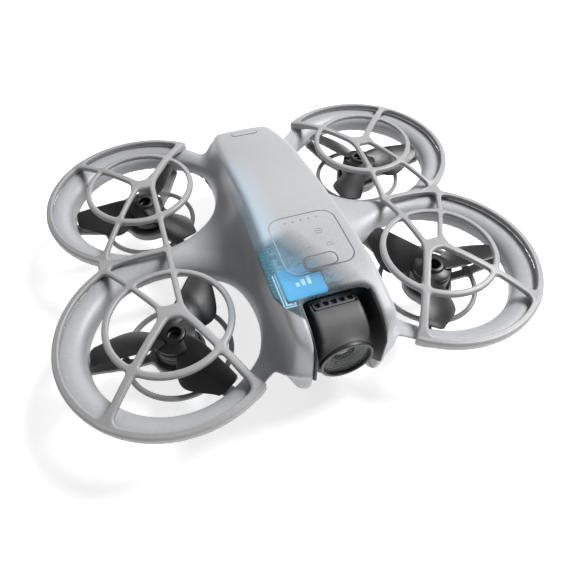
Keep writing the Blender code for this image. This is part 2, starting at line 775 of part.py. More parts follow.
def make_battery(paints):
    back = TAIL_Y - 0.5
    rings = []
    for share in (0.0, 0.04, 1.0):
        grow = 0.8 if share == 0.0 else 0.0
        z = BELLY_Z + (BATTERY_TOP_Z - BELLY_Z) * share
        length = (back - BATTERY_FRONT_Y) / 2
        outline = rounded(BATTERY_X - grow, length - grow, 1.6, 3)
        rings.append([(x, y + (back + BATTERY_FRONT_Y) / 2, z) for x, y in outline])
    pack = loft("battery_pack", rings)
    for _, sx in SIDES:
        near = sx * (BATTERY_X - 2.6)
        far = sx * (BATTERY_X + 4.0)
        cut(pack, block("latch_seat", (min(near, far), 27.9, -22.3), (max(near, far), 38.1, -18.7)))
    finish(pack, paints["battery"])
    for side, sx in SIDES:
        near = sx * (BATTERY_X - 1.4)
        far = sx * (BATTERY_X + 0.1)
        latch = block(
            f"battery_latch_{side}",
            (min(near, far), 28.2, -22.0),
            (max(near, far), 37.8, -19.0),
        )
        finish(latch, paints["panel"], (sx * BATTERY_X, 33.0, -20.5))


def make_sensors(paints):
    window = (
        (0.0, BELLY_Z + 0.4),
        (3.2, BELLY_Z + 0.4),
        (4.0, BELLY_Z + 1.0),
        (4.0, BELLY_Z + 4.0),
        (0.0, BELLY_Z + 4.0),
    )
    finish(spun("downward_camera", (0.0, -20.0, 0.0), window, 26), paints["glass"])
    range_lens = (
        (0.0, BELLY_Z + 0.5),
        (1.2, BELLY_Z + 0.5),
        (1.6, BELLY_Z + 1.0),
        (1.6, BELLY_Z + 4.0),
        (0.0, BELLY_Z + 4.0),
    )
    finish(spun("range_sensor", (-7.4, -12.0, 0.0), range_lens, 18), paints["glass"])


def main():
    clear_scene()
    paints = {
        "skin": paint("shell plastic", (0.62, 0.62, 0.64), 0.42),
        "guard": paint("guard plastic", (0.56, 0.56, 0.58), 0.45),
        "mount": paint("mount plastic", (0.45, 0.45, 0.46), 0.5),
        "prop": paint("propeller plastic", (0.02, 0.02, 0.022), 0.4),
        "motor": paint("motor shell", (0.03, 0.03, 0.032), 0.35, 0.8),
        "core": paint("motor winding", (0.45, 0.2, 0.08), 0.4, 0.9),
        "black": paint("black plastic", (0.012, 0.012, 0.013), 0.5),
        "camera": paint("camera satin", (0.22, 0.21, 0.22), 0.35, 0.3),
        "cover": paint("camera cover", (0.2, 0.19, 0.2), 0.4, 0.3),
        "glass": paint("lens glass", (0.03, 0.05, 0.045), 0.05),
        "steel": paint("steel", (0.6, 0.6, 0.62), 0.3, 1.0),
        "panel": paint("panel plastic", (0.6, 0.6, 0.62), 0.4),
        "light": paint("light guide", (0.85, 0.87, 0.9), 0.3),
        "board": paint("circuit board", (0.1, 0.32, 0.38), 0.4),
        "memory": paint("memory blue", (0.05, 0.4, 0.85), 0.3),
        "contact": paint("contact gold", (0.8, 0.6, 0.25), 0.3, 1.0),
        "battery": paint("battery plastic", (0.5, 0.5, 0.52), 0.5),
    }
    make_upper_shell(paints["skin"])
    make_lower_shell(paints["skin"])
    for side, sx in SIDES:
        make_guard(f"{side}_propeller_guard", sx, paints["guard"])
    for end, sy in ENDS:
        for side, sx in SIDES:
            corner = f"{end}_{side}"
            make_mount(f"{corner}_motor_mount", sx, sy, paints["mount"])
            make_motor(corner, sx, sy, paints["core"], paints["motor"])
            make_propeller(corner, sx, sy, paints["prop"])
    make_camera(paints)
    make_controls(paints)
    make_boards(paints)
    make_chips(paints)
    make_battery(paints)
    make_sensors(paints)


main()
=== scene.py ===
"""Looks of the palm-sized ducted quadcopter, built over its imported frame.

Lengths inside the shape functions are millimetres, with heights taken from the plane of the guard rims.
"""

import json
import math

import bmesh
import bpy
import numpy as np
from mathutils import Matrix, Vector

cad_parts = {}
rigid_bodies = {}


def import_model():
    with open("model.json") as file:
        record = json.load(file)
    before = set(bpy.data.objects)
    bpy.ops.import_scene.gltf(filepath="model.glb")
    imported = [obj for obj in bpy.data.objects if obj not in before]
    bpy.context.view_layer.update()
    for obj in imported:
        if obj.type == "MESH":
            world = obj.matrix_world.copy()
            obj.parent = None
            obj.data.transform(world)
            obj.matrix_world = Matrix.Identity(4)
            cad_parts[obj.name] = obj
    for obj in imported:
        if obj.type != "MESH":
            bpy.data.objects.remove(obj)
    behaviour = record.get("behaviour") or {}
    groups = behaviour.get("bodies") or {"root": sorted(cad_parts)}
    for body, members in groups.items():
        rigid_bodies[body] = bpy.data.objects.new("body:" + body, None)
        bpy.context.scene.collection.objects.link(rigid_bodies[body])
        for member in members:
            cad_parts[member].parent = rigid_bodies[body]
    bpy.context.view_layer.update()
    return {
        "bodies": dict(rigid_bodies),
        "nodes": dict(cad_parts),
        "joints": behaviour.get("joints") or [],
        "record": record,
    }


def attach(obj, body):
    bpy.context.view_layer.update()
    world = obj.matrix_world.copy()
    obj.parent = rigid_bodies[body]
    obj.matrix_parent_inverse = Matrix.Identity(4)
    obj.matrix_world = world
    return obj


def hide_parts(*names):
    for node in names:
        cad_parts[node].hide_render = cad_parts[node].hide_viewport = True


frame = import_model()

MM = 0.001
RIM_Z = 28.2
DUCT_X = 44.2
DUCT_Y = 30.8
RIM_R = 33.15
RIM_HALF = 1.1
MID_R = 18.2
MEMORY_X = -6.65
MEMORY_Y = -39.35
HOLE_R = 25.7
LIP_R = 31.5
LIP_Z = -1.25
THROAT_Z = -5.4
DUCT_FLOOR_Z = -8.0
DOME_H = 6.0
BAR_X = 40.0
EAR = math.radians(-125.3)
WAIST = math.radians(58.5)
EAR_FROM = (-4.9, -0.4)
EAR_TO = (-19.8, -27.6)
WAIST_FROM = (1.3, 2.5)
WAIST_TO = (16.2, 27.4)
CORNER_FROM = (1.9, -1.0)
CORNER_TO = (21.6, -24.8)

# The studio, in metres and watts: each lamp has a name, a place, a size and a power
FLOOR_SIZE = 3.0
FLOOR_DROP = 0.0002
FLOOR_GREY = 0.86
FLOOR_GLOW = 0.62
SKY_STRENGTH = 0.22
LAMPS = (("key", (0.44, 0.02, 0.60), 0.34, 7.4), ("back", (0.20, 0.75, 0.55), 0.50, 2.0))

# The camera's angles in degrees, and its place in metres, with its height taken from the plane of the rims
VIEW_AZIMUTH = -18.54
VIEW_RISE = 51.71
VIEW_ROLL = 0.25
VIEW_ANGLE = 61.54
VIEW_PLACE = (-0.03717, -0.11544, 0.11966)

# The clear zone of the shell, in metres: the slant that carries its outline from the board up to the skin,
# the board's height, its left edge, and the height above which the skin is clear
SLANT_X = 0.2787
SLANT_Y = 0.8164
BOARD_LEVEL = 0.0447
ZONE_EDGE = (-0.0163, -0.0157)
CAVITY_LEVEL = (0.0300, 0.0316)

TAIL_Y = 58.6
PARTING_Z = -8.4
PIVOT_Y = -48.5
PIVOT_Z = 3.4
BAY_X = 10.0
BAY_TOP_Y = -45.6
BAY_R = 13.9
DRUM_R = 11.5
DRUM_X = 7.1
LENS_Y = -59.2
LENS_R = 8.0
POWER_Y = 47.5
PANEL_Y = -27.4
PANEL_HALF_Y = 10.8
PANEL_X = 10.1
BUTTON_Y = -35.8
BATTERY_X = 11.4
BATTERY_TOP_Z = -15.8
BATTERY_FRONT_Y = -3.0

CORNERS = [
    (end, side, sy, sx)
    for end, sy in (("front", -1.0), ("rear", 1.0))
    for side, sx in (("left", -1.0), ("right", 1.0))
]


# ---------------------------------------------------------------- fields


def smin(a, b, k):
    """Smooth minimum: a fillet that reaches about k along both surfaces."""
    h = np.maximum(k - np.abs(a - b), 0.0)
    return np.minimum(a, b) - h * h / (4.0 * k)


def smax(a, b, k):
    return -smin(-a, -b, k)


def step(x, low, high):
    t = np.clip((x - low) / (high - low), 0.0, 1.0)
    return t * t * (3.0 - 2.0 * t)


def half_width(y):
    ease = step(-y, 0.0, 40.0)
    taper = np.maximum(y - 20.0, 0.0) / 38.0
    return 13.7 + 0.9 * ease - 3.2 * taper**2.2


def crown_line(y):
    """Height of the fuselage's top centre line before the nose turns down."""
    rear = 0.00513 * np.maximum(y + 28.0, 0.0) ** 1.82
    return 20.3 - rear - 0.0075 * np.maximum(-36.0 - y, 0.0) ** 2


def fuselage(x, y, z):
    """Signed field of the closed fuselage, without the shoulders."""
    ax = np.abs(x)
    drop = 0.0022 * ax**2.1
    top = z - crown_line(y) + drop
    front = -62.15 - y + 0.1 * np.maximum(7.0 - z, 0.0)
    top = smax(top, front, 8.4)
    t = np.maximum((-16.0 - y) / 46.1, 0.0)
    w = np.maximum((-3.0 - z) / 25.2, 0.0)
    low = 25.2 * ((t**1.7 + w**1.5) ** (1 / 1.6) - 1.0)
    fade = step(y, -54.0, -42.0) * (1.0 - step(y, 44.0, 57.0))
    swell = 3.5 * np.exp(-(((z + 5.5) / 8.0) ** 2)) * fade
    tuck = 4.6 * step(-y, 54.5, 62.0) ** 1.6
    side = ax - (half_width(y) + swell - tuck)
    body = smax(top, side, 2.4)
    body = smax(body, low, 5.0)
    return smax(body, y - TAIL_Y, 7.0)


def duct_polar(x, y):
    """Distances from the nearest duct's axis and from its neighbour's on the same side."""
    px = np.abs(x) - DUCT_X
    py = DUCT_Y - np.abs(y)
    near = np.sqrt(px * px + py * py)
    far = np.sqrt(px * px + (py - 2.0 * DUCT_Y) ** 2)
    return px, py, near, far


def wing(x, y, z):
    """Duct lips and throats, with the flat ground between them and the fuselage."""
    px, _, r, far = duct_polar(x, y)
    plan = smin(r - 32.3, far - 32.3, 10.7)
    plan = smin(plan, smax(np.abs(x) - half_width(y), np.abs(y) - 52.0, 2.0), 9.0)
    u = np.maximum(LIP_R - r, 0.0) / (LIP_R - HOLE_R)
    v = np.maximum(z - THROAT_Z, 0.0) / (LIP_Z - THROAT_Z)
    e = np.sqrt(u * u + v * v) + 1e-6
    steep = np.sqrt((u / (LIP_R - HOLE_R)) ** 2 + (v / (LIP_Z - THROAT_Z)) ** 2) / e + 1e-3
    lip = (e - 1.0) / np.maximum(steep, 0.16)
    under = plan * 0.745 - (z + 2.3) * 0.667
    solid = smax(lip, under, 0.7)
    solid = smax(solid, DUCT_FLOOR_Z - z, 0.8)
    inward = step(-px, 14.0, 24.0)
    return smax(solid, HOLE_R - r, 0.5 + 2.2 * inward)


def bay(x, y, z):
    """Room of the tilting camera, open to the front and below."""
    ax = np.abs(x)
    mouth = smax(ax - BAY_X, y - BAY_TOP_Y, 4.0)
    drum = np.sqrt((y - PIVOT_Y) ** 2 + (z - PIVOT_Z) ** 2) - BAY_R
    drum = np.maximum(drum, ax - BAY_X)
    foot = np.maximum(np.maximum(ax - BAY_X, y + 38.0), z - PIVOT_Z)
    foot = np.maximum(foot, -50.0 - y)
    return np.minimum(np.minimum(mouth, drum), foot)


def box(x, y, z, low, high):
    return np.maximum.reduce([low[0] - x, x - high[0], low[1] - y, y - high[1], low[2] - z, z - high[2]])


def upper_shell(x, y, z):
    body = fuselage(x, y, z)
    blend = 5.5 + 12.0 * np.exp(-((y / 11.0) ** 2))
    skin = smin(body, wing(x, y, z), blend)
    px, _, r, _ = duct_polar(x, y)
    skin = smax(skin, HOLE_R - r, 0.5 + 2.2 * step(-px, 14.0, 24.0))
    room = smax(body + 1.3, box(x, y, z, (-40.0, -44.4, -7.0), (40.0, 24.0, 40.0)), 1.0)
    skin = smax(skin, -room, 0.4)
    skin = smax(skin, -bay(x, y, z), 0.9)
    for i in range(3):
        slot_y = 35.0 + 3.1 * i
        slot = box(x, y, z, (-21.2, slot_y, -7.4), (-16.6, slot_y + 1.9, -5.2))
        skin = np.maximum(skin, -slot)
    return smax(skin, PARTING_Z - z, 0.3)


def lower_shell(x, y, z):
    body = fuselage(x, y, z)
    skin = smax(body, z - (PARTING_Z - 0.3), 0.3)
    skin = smax(skin, -bay(x, y, z), 0.9)
    side = BATTERY_X + 0.3
    pack = box(x, y, z, (-side, BATTERY_FRONT_Y - 0.3, -60.0), (side, 90.0, BATTERY_TOP_Z + 0.3))
    skin = smax(skin, -pack, 0.4)
    room = smax(body + 1.6, box(x, y, z, (-40.0, -30.0, BATTERY_TOP_Z + 1.8), (40.0, 56.0, 0.0)), 1.0)
    skin = smax(skin, -room, 0.4)
    ax = np.abs(x)
    grip = box(ax, y, z, (8.0, 27.7, -22.3), (20.0, 38.3, -18.7))
    skin = smax(skin, -grip, 0.5)
    eye = np.maximum(np.hypot(x, y + 20.0) - 4.3, z + 16.0)
    skin = smax(skin, -eye, 0.4)
    dot = np.maximum(np.hypot(x + 7.4, y + 12.0) - 1.9, z + 16.0)
    return smax(skin, -dot, 0.3)


def segment(px, py, a, b):
    """Plan distance from a segment, and how far along it the nearest point lies."""
    dx = b[0] - a[0]
    dy = b[1] - a[1]
    t = np.clip(((px - a[0]) * dx + (py - a[1]) * dy) / (dx * dx + dy * dy), 0.0, 1.0)
    return np.hypot(px - a[0] - t * dx, py - a[1] - t * dy), t


def guard(x, y, z):
    """Two domed grilles joined at the waist, as one bar network on a shallow dome."""
    px = np.abs(x) - DUCT_X
    py = DUCT_Y - np.abs(y)
    r = np.hypot(px, py)
    turn = np.arctan2(py, px)
    lift = DOME_H * np.maximum(1.0 - (r / RIM_R) ** 2, 0.0)
    ear, t_ear = segment(px, py, EAR_FROM, EAR_TO)
    waist, t_waist = segment(px, py, WAIST_FROM, WAIST_TO)
    corner, t_corner = segment(px, py, CORNER_FROM, CORNER_TO)
    bar, _ = segment(px, py, (BAR_X - DUCT_X, 0.6), (BAR_X - DUCT_X, DUCT_Y + 1.0))
    cross, _ = segment(px, py, (BAR_X - DUCT_X, DUCT_Y), (61.0 - DUCT_X, DUCT_Y))
    ear = ear - (1.2 + 0.35 * step(t_ear, 0.8, 1.0))
    waist = waist - (0.85 + 0.15 * step(t_waist, 0.8, 1.0))
    corner = corner - (1.2 + 0.35 * step(t_corner, 0.85, 1.0))
    bar = bar - 0.95
    cross = cross - (1.0 + 0.9 * step(px, 10.0, 17.0))
    middle = np.abs(r - MID_R) - 1.0
    outer = np.abs(r - RIM_R) - RIM_HALF
    start = (RIM_R * math.cos(EAR), RIM_R * math.sin(EAR))
    stop = (RIM_R * math.cos(WAIST), RIM_R * math.sin(WAIST))
    ends = np.minimum(np.hypot(px - start[0], py - start[1]), np.hypot(px - stop[0], py - stop[1]))
    outer = np.where((turn > EAR) & (turn < WAIST), outer, ends - RIM_HALF)
    plate = np.maximum(np.maximum(-5.4 - px, px - 3.1), np.maximum(py - 3.7, -4.2 - py))
    plate = np.maximum(plate, (py - px) * 0.707 - 5.4)
    web = smax(plate, 4.9 - np.hypot(px + 1.2, py + 5.8), 0.3)
    net = smin(smin(ear, corner, 0.5), smin(waist, bar, 0.8), 1.6)
    net = smin(net, web, 0.9)
    net = smin(net, middle, 1.3)
    net = smin(net, outer, 2.6)
    net = smin(net, cross, 1.8)
    net = smax(net, r - (RIM_R + RIM_HALF + 2.0 * step(turn, 0.55, 0.85)), 0.5)
    deep = 0.95 * step(t_ear, 0.55, 1.0) * np.exp(-np.maximum(ear, 0.0) / 2.0)
    thick = 0.85 + 0.1 * step(r, 28.0, 31.0)
    up = np.abs(z - lift + deep * 0.9) - (thick + deep * 0.9)
    skirt = smax(np.abs(r - RIM_R - 0.55) - 0.5, np.maximum(z - 0.2, -2.1 - z), 0.3)
    skirt = np.maximum(skirt, np.where((turn > EAR) & (turn < WAIST), -1.0, 3.0))
    edge = 0.6
    qa = np.maximum(net + edge, 0.0)
    qb = np.maximum(up + edge, 0.0)
    solid = np.minimum(np.maximum(net + edge, up + edge), 0.0) + np.sqrt(qa * qa + qb * qb) - edge
    return smin(solid, skirt, 0.4)


def cage(x, y, z):
    """Motor carrier of one duct about its own axis: cup, ring and three arms."""
    r = np.hypot(x, y)
    cup = smax(np.abs(r - 4.8) - 3.8, np.abs(z + 13.7) - 1.7, 0.9)
    bowl = np.maximum(r - 7.4, -(z + 13.4))
    cup = smax(cup, -bowl, 0.4)
    ring = np.hypot((r - 16.6) / 0.95, (z + 12.9) / 1.05) - 0.92
    arms = None
    for i in range(3):
        angle = 2.0 * math.pi * i / 3.0
        along = x * math.cos(angle) + y * math.sin(angle)
        across = np.abs(-x * math.sin(angle) + y * math.cos(angle))
        level = -13.6 + 4.3 * step(along, 14.0, 29.0)
        bar = np.maximum(across - (1.5 + 0.7 * step(along, 16.0, 27.0)), np.abs(z - level) - 0.8)
        bar = np.maximum(bar, np.maximum(6.0 - along, along - 27.2))
        foot = smax(np.hypot(along - 26.2, across) - 1.2, np.abs(z + 9.4) - 1.15, 0.5)
        arm = smin(bar, foot, 1.0)
        arms = arm if arms is None else np.minimum(arms, arm)
    return smin(smin(cup, arms, 1.6), ring, 1.3)


def camera_drum(x, y, z):
    """Tilting camera: a drum across the nose with a round lens boss faired into it."""
    ax = np.abs(x)
    ry = np.hypot(y - PIVOT_Y, z - PIVOT_Z)
    rb = np.hypot(x, z - PIVOT_Z)
    drum = smax(ry - DRUM_R, ax - DRUM_X, 1.4)
    drum = smax(drum, LENS_Y + 1.9 - y, 1.6)
    boss = smax(rb - LENS_R + 0.1, np.maximum(LENS_Y + 1.05 - y, y + 50.0), 0.5)
    solid = smin(drum, boss, 2.2)
    solid = smax(solid, -np.maximum(rb - 6.9, y - LENS_Y - 5.6), 0.3)
    turn = np.degrees(np.arctan2(z - PIVOT_Z, PIVOT_Y - y))
    seat = np.maximum(np.maximum(92.3 - turn, turn - 110.4) * 0.2, np.maximum(ax - 6.35, DRUM_R - 1.1 - ry))
    solid = smax(solid, -seat, 0.25)
    return smax(solid, 1.5 - ry, 0.3)


def camera_comb(x, y, z):
    """Cover on top of the drum with five open notches along its rear edge."""
    ry = np.hypot(y - PIVOT_Y, z - PIVOT_Z)
    turn = np.degrees(np.arctan2(z - PIVOT_Z, PIVOT_Y - y))
    fan = (turn - 101.3) * 0.2
    plan = smax(np.abs(x) - 6.1, np.abs(fan) - 1.65, 1.2)
    solid = smax(plan, np.maximum(ry - DRUM_R, DRUM_R - 0.8 - ry), 0.25)
    notch = np.abs((x + 4.8 + 1.2) % 2.4 - 1.2) - 0.76
    notch = smax(np.maximum(notch, np.abs(x) - 5.8), np.abs(fan - 0.1) - 0.95, 0.5)
    return smax(solid, -notch, 0.2)


# ---------------------------------------------------------------- meshing


def field_mesh(field, low, high, cell, block=8):
    """Surface net of a field, worked out only in the blocks that its surface crosses."""
    low = np.array(low, float)
    size = cell * block
    counts = np.ceil((np.array(high, float) - low) / size).astype(int)
    spots = np.stack(np.meshgrid(*[np.arange(n) for n in counts], indexing="ij"), -1).reshape(-1, 3)
    middle = low + (spots + 0.5) * size
    keep = spots[np.abs(field(*middle.T)) < size * 1.45]
    ticks = np.stack(np.meshgrid(*[np.arange(block + 1)] * 3, indexing="ij"), -1)
    span = counts * block + 2
    keys, places, edges = [], [], [[], [], []]
    for chunk in np.array_split(keep, max(len(keep) // 400, 1)):
        grid = chunk[:, None, None, None, :] * block + ticks[None]
        point = low + grid * cell
        value = field(point[..., 0], point[..., 1], point[..., 2])
        inside = value < 0.0
        offsets = [(i, j, k) for i in (0, 1) for j in (0, 1) for k in (0, 1)]
        corners = [inside[:, i : i + block, j : j + block, k : k + block] for i, j, k in offsets]
        total = sum(c.astype(np.int8) for c in corners)
        active = np.nonzero((total > 0) & (total < 8))
        base = grid[active]
        level = [value[active[0], active[1] + i, active[2] + j, active[3] + k] for i, j, k in offsets]
        spot = np.zeros((len(base), 3))
        hits = np.zeros(len(base))
        for a in range(8):
            for b in range(a + 1, 8):
                gap = np.array(offsets[b]) - np.array(offsets[a])
                if np.abs(gap).sum() != 1:
                    continue
                crossed = (level[a] < 0) != (level[b] < 0)
                t = np.where(crossed, level[a] / np.where(crossed, level[a] - level[b], 1.0), 0.0)
                spot += np.where(crossed[:, None], np.array(offsets[a]) + t[:, None] * gap, 0.0)
                hits += crossed
        places.append(low + (base + spot / hits[:, None]) * cell)
        keys.append((base[:, 0] * span[1] + base[:, 1]) * span[2] + base[:, 2])
        for axis in range(3):
            shift = [0, 0, 0]
            shift[axis] = 1
            here = inside[:, :block, :block, :block]
            there = inside[
                :,
                shift[0] : shift[0] + block,
                shift[1] : shift[1] + block,
                shift[2] : shift[2] + block,
            ]
            found = np.nonzero(here != there)
            edges[axis].append(np.column_stack([grid[found], here[found]]))
    keys = np.concatenate(keys)
    places = np.concatenate(places)
    order = np.argsort(keys)
    keys = keys[order]
    places = places[order]
    unit = np.eye(3, dtype=int)
    faces = []
    for axis in range(3):
        rows = np.concatenate(edges[axis]).astype(int)
        start = rows[:, :3]
        b = unit[(axis + 1) % 3]
        c = unit[(axis + 2) % 3]
        quad = []
        for cell_at in (start, start - b, start - b - c, start - c):
            key = (cell_at[:, 0] * span[1] + cell_at[:, 1]) * span[2] + cell_at[:, 2]
            at = np.minimum(np.searchsorted(keys, key), len(keys) - 1)
            quad.append(np.where(keys[at] == key, at, -1))
        quad = np.column_stack(quad)
        quad = np.where(rows[:, 3:4] == 1, quad, quad[:, ::-1])
        faces.append(quad[(quad >= 0).all(axis=1)])
    faces = np.concatenate(faces)
    h = 0.04
    for _ in range(3):
        x, y, z = places.T
        value = field(x, y, z)
        slope = np.column_stack(
            [
                field(x + h, y, z) - field(x - h, y, z),
                field(x, y + h, z) - field(x, y - h, z),
                field(x, y, z + h) - field(x, y, z - h),
            ]
        ) / (2 * h)
        move = slope * (value / np.maximum((slope**2).sum(axis=1), 0.2))[:, None]
        size = np.linalg.norm(move, axis=1)
        places -= move * np.minimum(1.0, 0.35 * cell / np.maximum(size, 1e-9))[:, None]
    return places, faces


def mesh_object(name, points, faces, smooth=True):
    """An object from points in millimetres, their height taken from the rim plane."""
    mesh = bpy.data.meshes.new(name)
    places = (np.asarray(points, float) + (0.0, 0.0, RIM_Z)) * MM
    mesh.from_pydata(places.tolist(), [], [list(map(int, face)) for face in faces])
    mesh.update()
    if smooth:
        mesh.shade_smooth()
    obj = bpy.data.objects.new(name, mesh)
    bpy.context.scene.collection.objects.link(obj)
    return obj


def mirrored(points, faces, sx=1.0, sy=1.0, offset=(0.0, 0.0, 0.0)):
    points = np.asarray(points) * (sx, sy, 1.0) + offset
    if sx * sy < 0:
        faces = np.asarray(faces)[:, ::-1]
    return points, faces


def place(piece, body, slot, material, *nodes):
    """Rides a piece on its body, gives it its material, and hides the CAD it stands for."""
    piece.data.materials.clear()
    piece.data.materials.append(material)
    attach(piece, body)
    if nodes:
        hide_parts(*nodes)
    return piece


class Build:
    """Collects closed surfaces into one mesh."""

    def __init__(self):
        self.points = []
        self.faces = []

    def add(self, points, faces):
        base = len(self.points)
        self.points.extend([tuple(map(float, p)) for p in points])
        self.faces.extend([tuple(int(i) + base for i in face) for face in faces])
        return self

    def loft(self, rings, closed=False, caps=True):
        n = len(rings[0])
        points = [p for ring in rings for p in ring]
        faces = []
        spans = len(rings) if closed else len(rings) - 1
        for i in range(spans):
            j = (i + 1) % len(rings)
            for k in range(n):
                m = (k + 1) % n
                faces.append((i * n + k, i * n + m, j * n + m, j * n + k))
        if not closed and caps:
            faces.append(tuple(reversed(range(n))))
            faces.append(tuple(range((len(rings) - 1) * n, len(rings) * n)))
        return self.add(points, faces)

    def lathe(self, centre, profile, steps=64, axis="Z"):
        """Turns an (radius, height) outline; ends on the axis where the radius is zero."""
        rings = []
        for i in range(steps):
            angle = 2 * math.pi * i / steps
            ring = []
            for radius, height in profile:
                a = radius * math.cos(angle)
                b = radius * math.sin(angle)
                offset = {"Z": (a, b, height), "Y": (a, height, b), "X": (height, a, b)}[axis]
                ring.append(tuple(c + o for c, o in zip(centre, offset)))
            rings.append(ring)
        n = len(profile)
        points = [p for ring in rings for p in ring]
        faces = []
        closed = profile[0][0] > 0 and profile[-1][0] > 0
        for i in range(steps):
            j = (i + 1) % steps
            for k in range(n if closed else n - 1):
                m = (k + 1) % n
                faces.append((i * n + k, i * n + m, j * n + m, j * n + k))
        return self.add(points, faces)

    def slab(self, outline, low, high, edge=0.15, centre=(0.0, 0.0)):
        """A plate with softened edges, from an (x, y) outline about its centre."""
        rings = []
        for inset, z in ((edge, low), (0.0, low + edge), (0.0, high - edge), (edge, high)):
            ring = []
            for x, y in outline:
                size = max(math.hypot(x, y), 1e-6)
                ring.append((centre[0] + x - inset * x / size, centre[1] + y - inset * y / size, z))
            rings.append(ring)
        return self.loft(rings)

    def block(self, low, high, edge=0.12):
        x = (high[0] - low[0]) / 2
        y = (high[1] - low[1]) / 2
        centre = ((high[0] + low[0]) / 2, (high[1] + low[1]) / 2)
        return self.slab(rounded(x, y, min(x, y) * 0.3, 3), low[2], high[2], edge, centre)

    def make(self, name, smooth=True, clean=True):
        obj = mesh_object(name, np.array(self.points), self.faces, smooth)
        if clean:
            shaped = bmesh.new()
            shaped.from_mesh(obj.data)
            bmesh.ops.remove_doubles(shaped, verts=shaped.verts, dist=2e-6)
            bmesh.ops.recalc_face_normals(shaped, faces=shaped.faces)
            shaped.to_mesh(obj.data)
            shaped.free()
        if smooth:
            obj.data.shade_smooth()
            obj.data.set_sharp_from_angle(angle=math.radians(38.0))
        return obj


def rounded(half_x, half_y, radius, steps=6):
    outline = []
    for turn, (sx, sy) in enumerate(((1, 1), (-1, 1), (-1, -1), (1, -1))):
        for i in range(steps + 1):
            angle = math.pi / 2 * (turn + i / steps)
            x = sx * (half_x - radius) + radius * math.cos(angle)
            y = sy * (half_y - radius) + radius * math.sin(angle)
            outline.append((x, y))
    return outline


# ---------------------------------------------------------------- materials


def new_material(name):
    material = bpy.data.materials.new(name)
    material.use_nodes = True
    tree = material.node_tree
    shader = tree.nodes["Principled BSDF"]
    return material, tree, shader


def link(tree, kind, inputs=None, **settings):
    node = tree.nodes.new(kind)
    for key, value in settings.items():
        setattr(node, key, value)
    for key, value in (inputs or {}).items():
        if hasattr(value, "is_output") or isinstance(value, bpy.types.NodeSocket):
            tree.links.new(value, node.inputs[key])
        else:
            node.inputs[key].default_value = value
    return node


def math_node(tree, operation, a, b=0.0, c=0.0, clamp=False):
    return link(tree, "ShaderNodeMath", {0: a, 1: b, 2: c}, operation=operation, use_clamp=clamp).outputs[0]


def product(tree, first, *others):
    """All the values multiplied together, in order."""
    for other in others:
        first = math_node(tree, "MULTIPLY", first, other)
    return first


def noise(tree, vector, scale, detail=4.0, rough=0.5):
    settings = {"Vector": vector, "Scale": scale, "Detail": detail, "Roughness": rough}
    node = link(tree, "ShaderNodeTexNoise", settings)
    return node.outputs["Fac"]


def ramp(tree, value, low, high, clamp=True):
    node = link(tree, "ShaderNodeMapRange", {"Value": value, 1: low[0], 2: low[1], 3: high[0], 4: high[1]})
    node.clamp = clamp
    return node.outputs[0]


def mix_colour(tree, factor, a, b):
    node = link(tree, "ShaderNodeMix", data_type="RGBA")
    for socket, value in ((node.inputs[0], factor), (node.inputs[6], a), (node.inputs[7], b)):
        if isinstance(value, bpy.types.NodeSocket):
            tree.links.new(value, socket)
        elif socket.type == "RGBA":
            socket.default_value = (*value, 1.0)
        else:
            socket.default_value = value
    return node.outputs[2]


def plastic(name, colour, rough=0.45, grain=900.0, bump=0.05, spread=0.05, metallic=0.0, coat=0.0):
    """Moulded plastic: spark-eroded grain, faint flow mottling and slightly paler edges."""
    material, tree, shader = new_material(name)
    spot = link(tree, "ShaderNodeTexCoord").outputs["Object"]
    broad = noise(tree, spot, 55.0, 3.0)
    fine = noise(tree, spot, grain, 3.0, 0.6)
    dark = tuple(c * (1.0 - spread) for c in colour)
    pale = tuple(min(c * (1.0 + spread), 1.0) for c in colour)
    base = mix_colour(tree, ramp(tree, broad, (0.3, 0.7), (0.0, 1.0)), dark, pale)
    point = link(tree, "ShaderNodeNewGeometry").outputs["Pointiness"]
    worn = ramp(tree, point, (0.505, 0.56), (0.0, 0.35))
    edge = tuple(min(c * 1.25 + 0.02, 1.0) for c in colour)
    base = mix_colour(tree, worn, base, edge)
    speckle = ramp(tree, fine, (0.35, 0.65), (0.96, 1.04))
    vary = link(tree, "ShaderNodeVectorMath", {0: base, "Scale": speckle}, operation="SCALE").outputs[0]
    tree.links.new(vary, shader.inputs["Base Color"])
    tree.links.new(ramp(tree, fine, (0.3, 0.7), (rough - 0.05, rough + 0.06)), shader.inputs["Roughness"])
    dent = link(tree, "ShaderNodeBump", {"Height": fine, "Strength": bump, "Distance": 0.0002})
    tree.links.new(dent.outputs[0], shader.inputs["Normal"])
    shader.inputs["Metallic"].default_value = metallic
    shader.inputs["Coat Weight"].default_value = coat
    shader.inputs["Coat Roughness"].default_value = 0.15
    return material


def top_height(x, y):
    """Height of the fuselage's top surface near its middle."""
    return crown_line(y) - 0.0022 * np.abs(x) ** 2.1


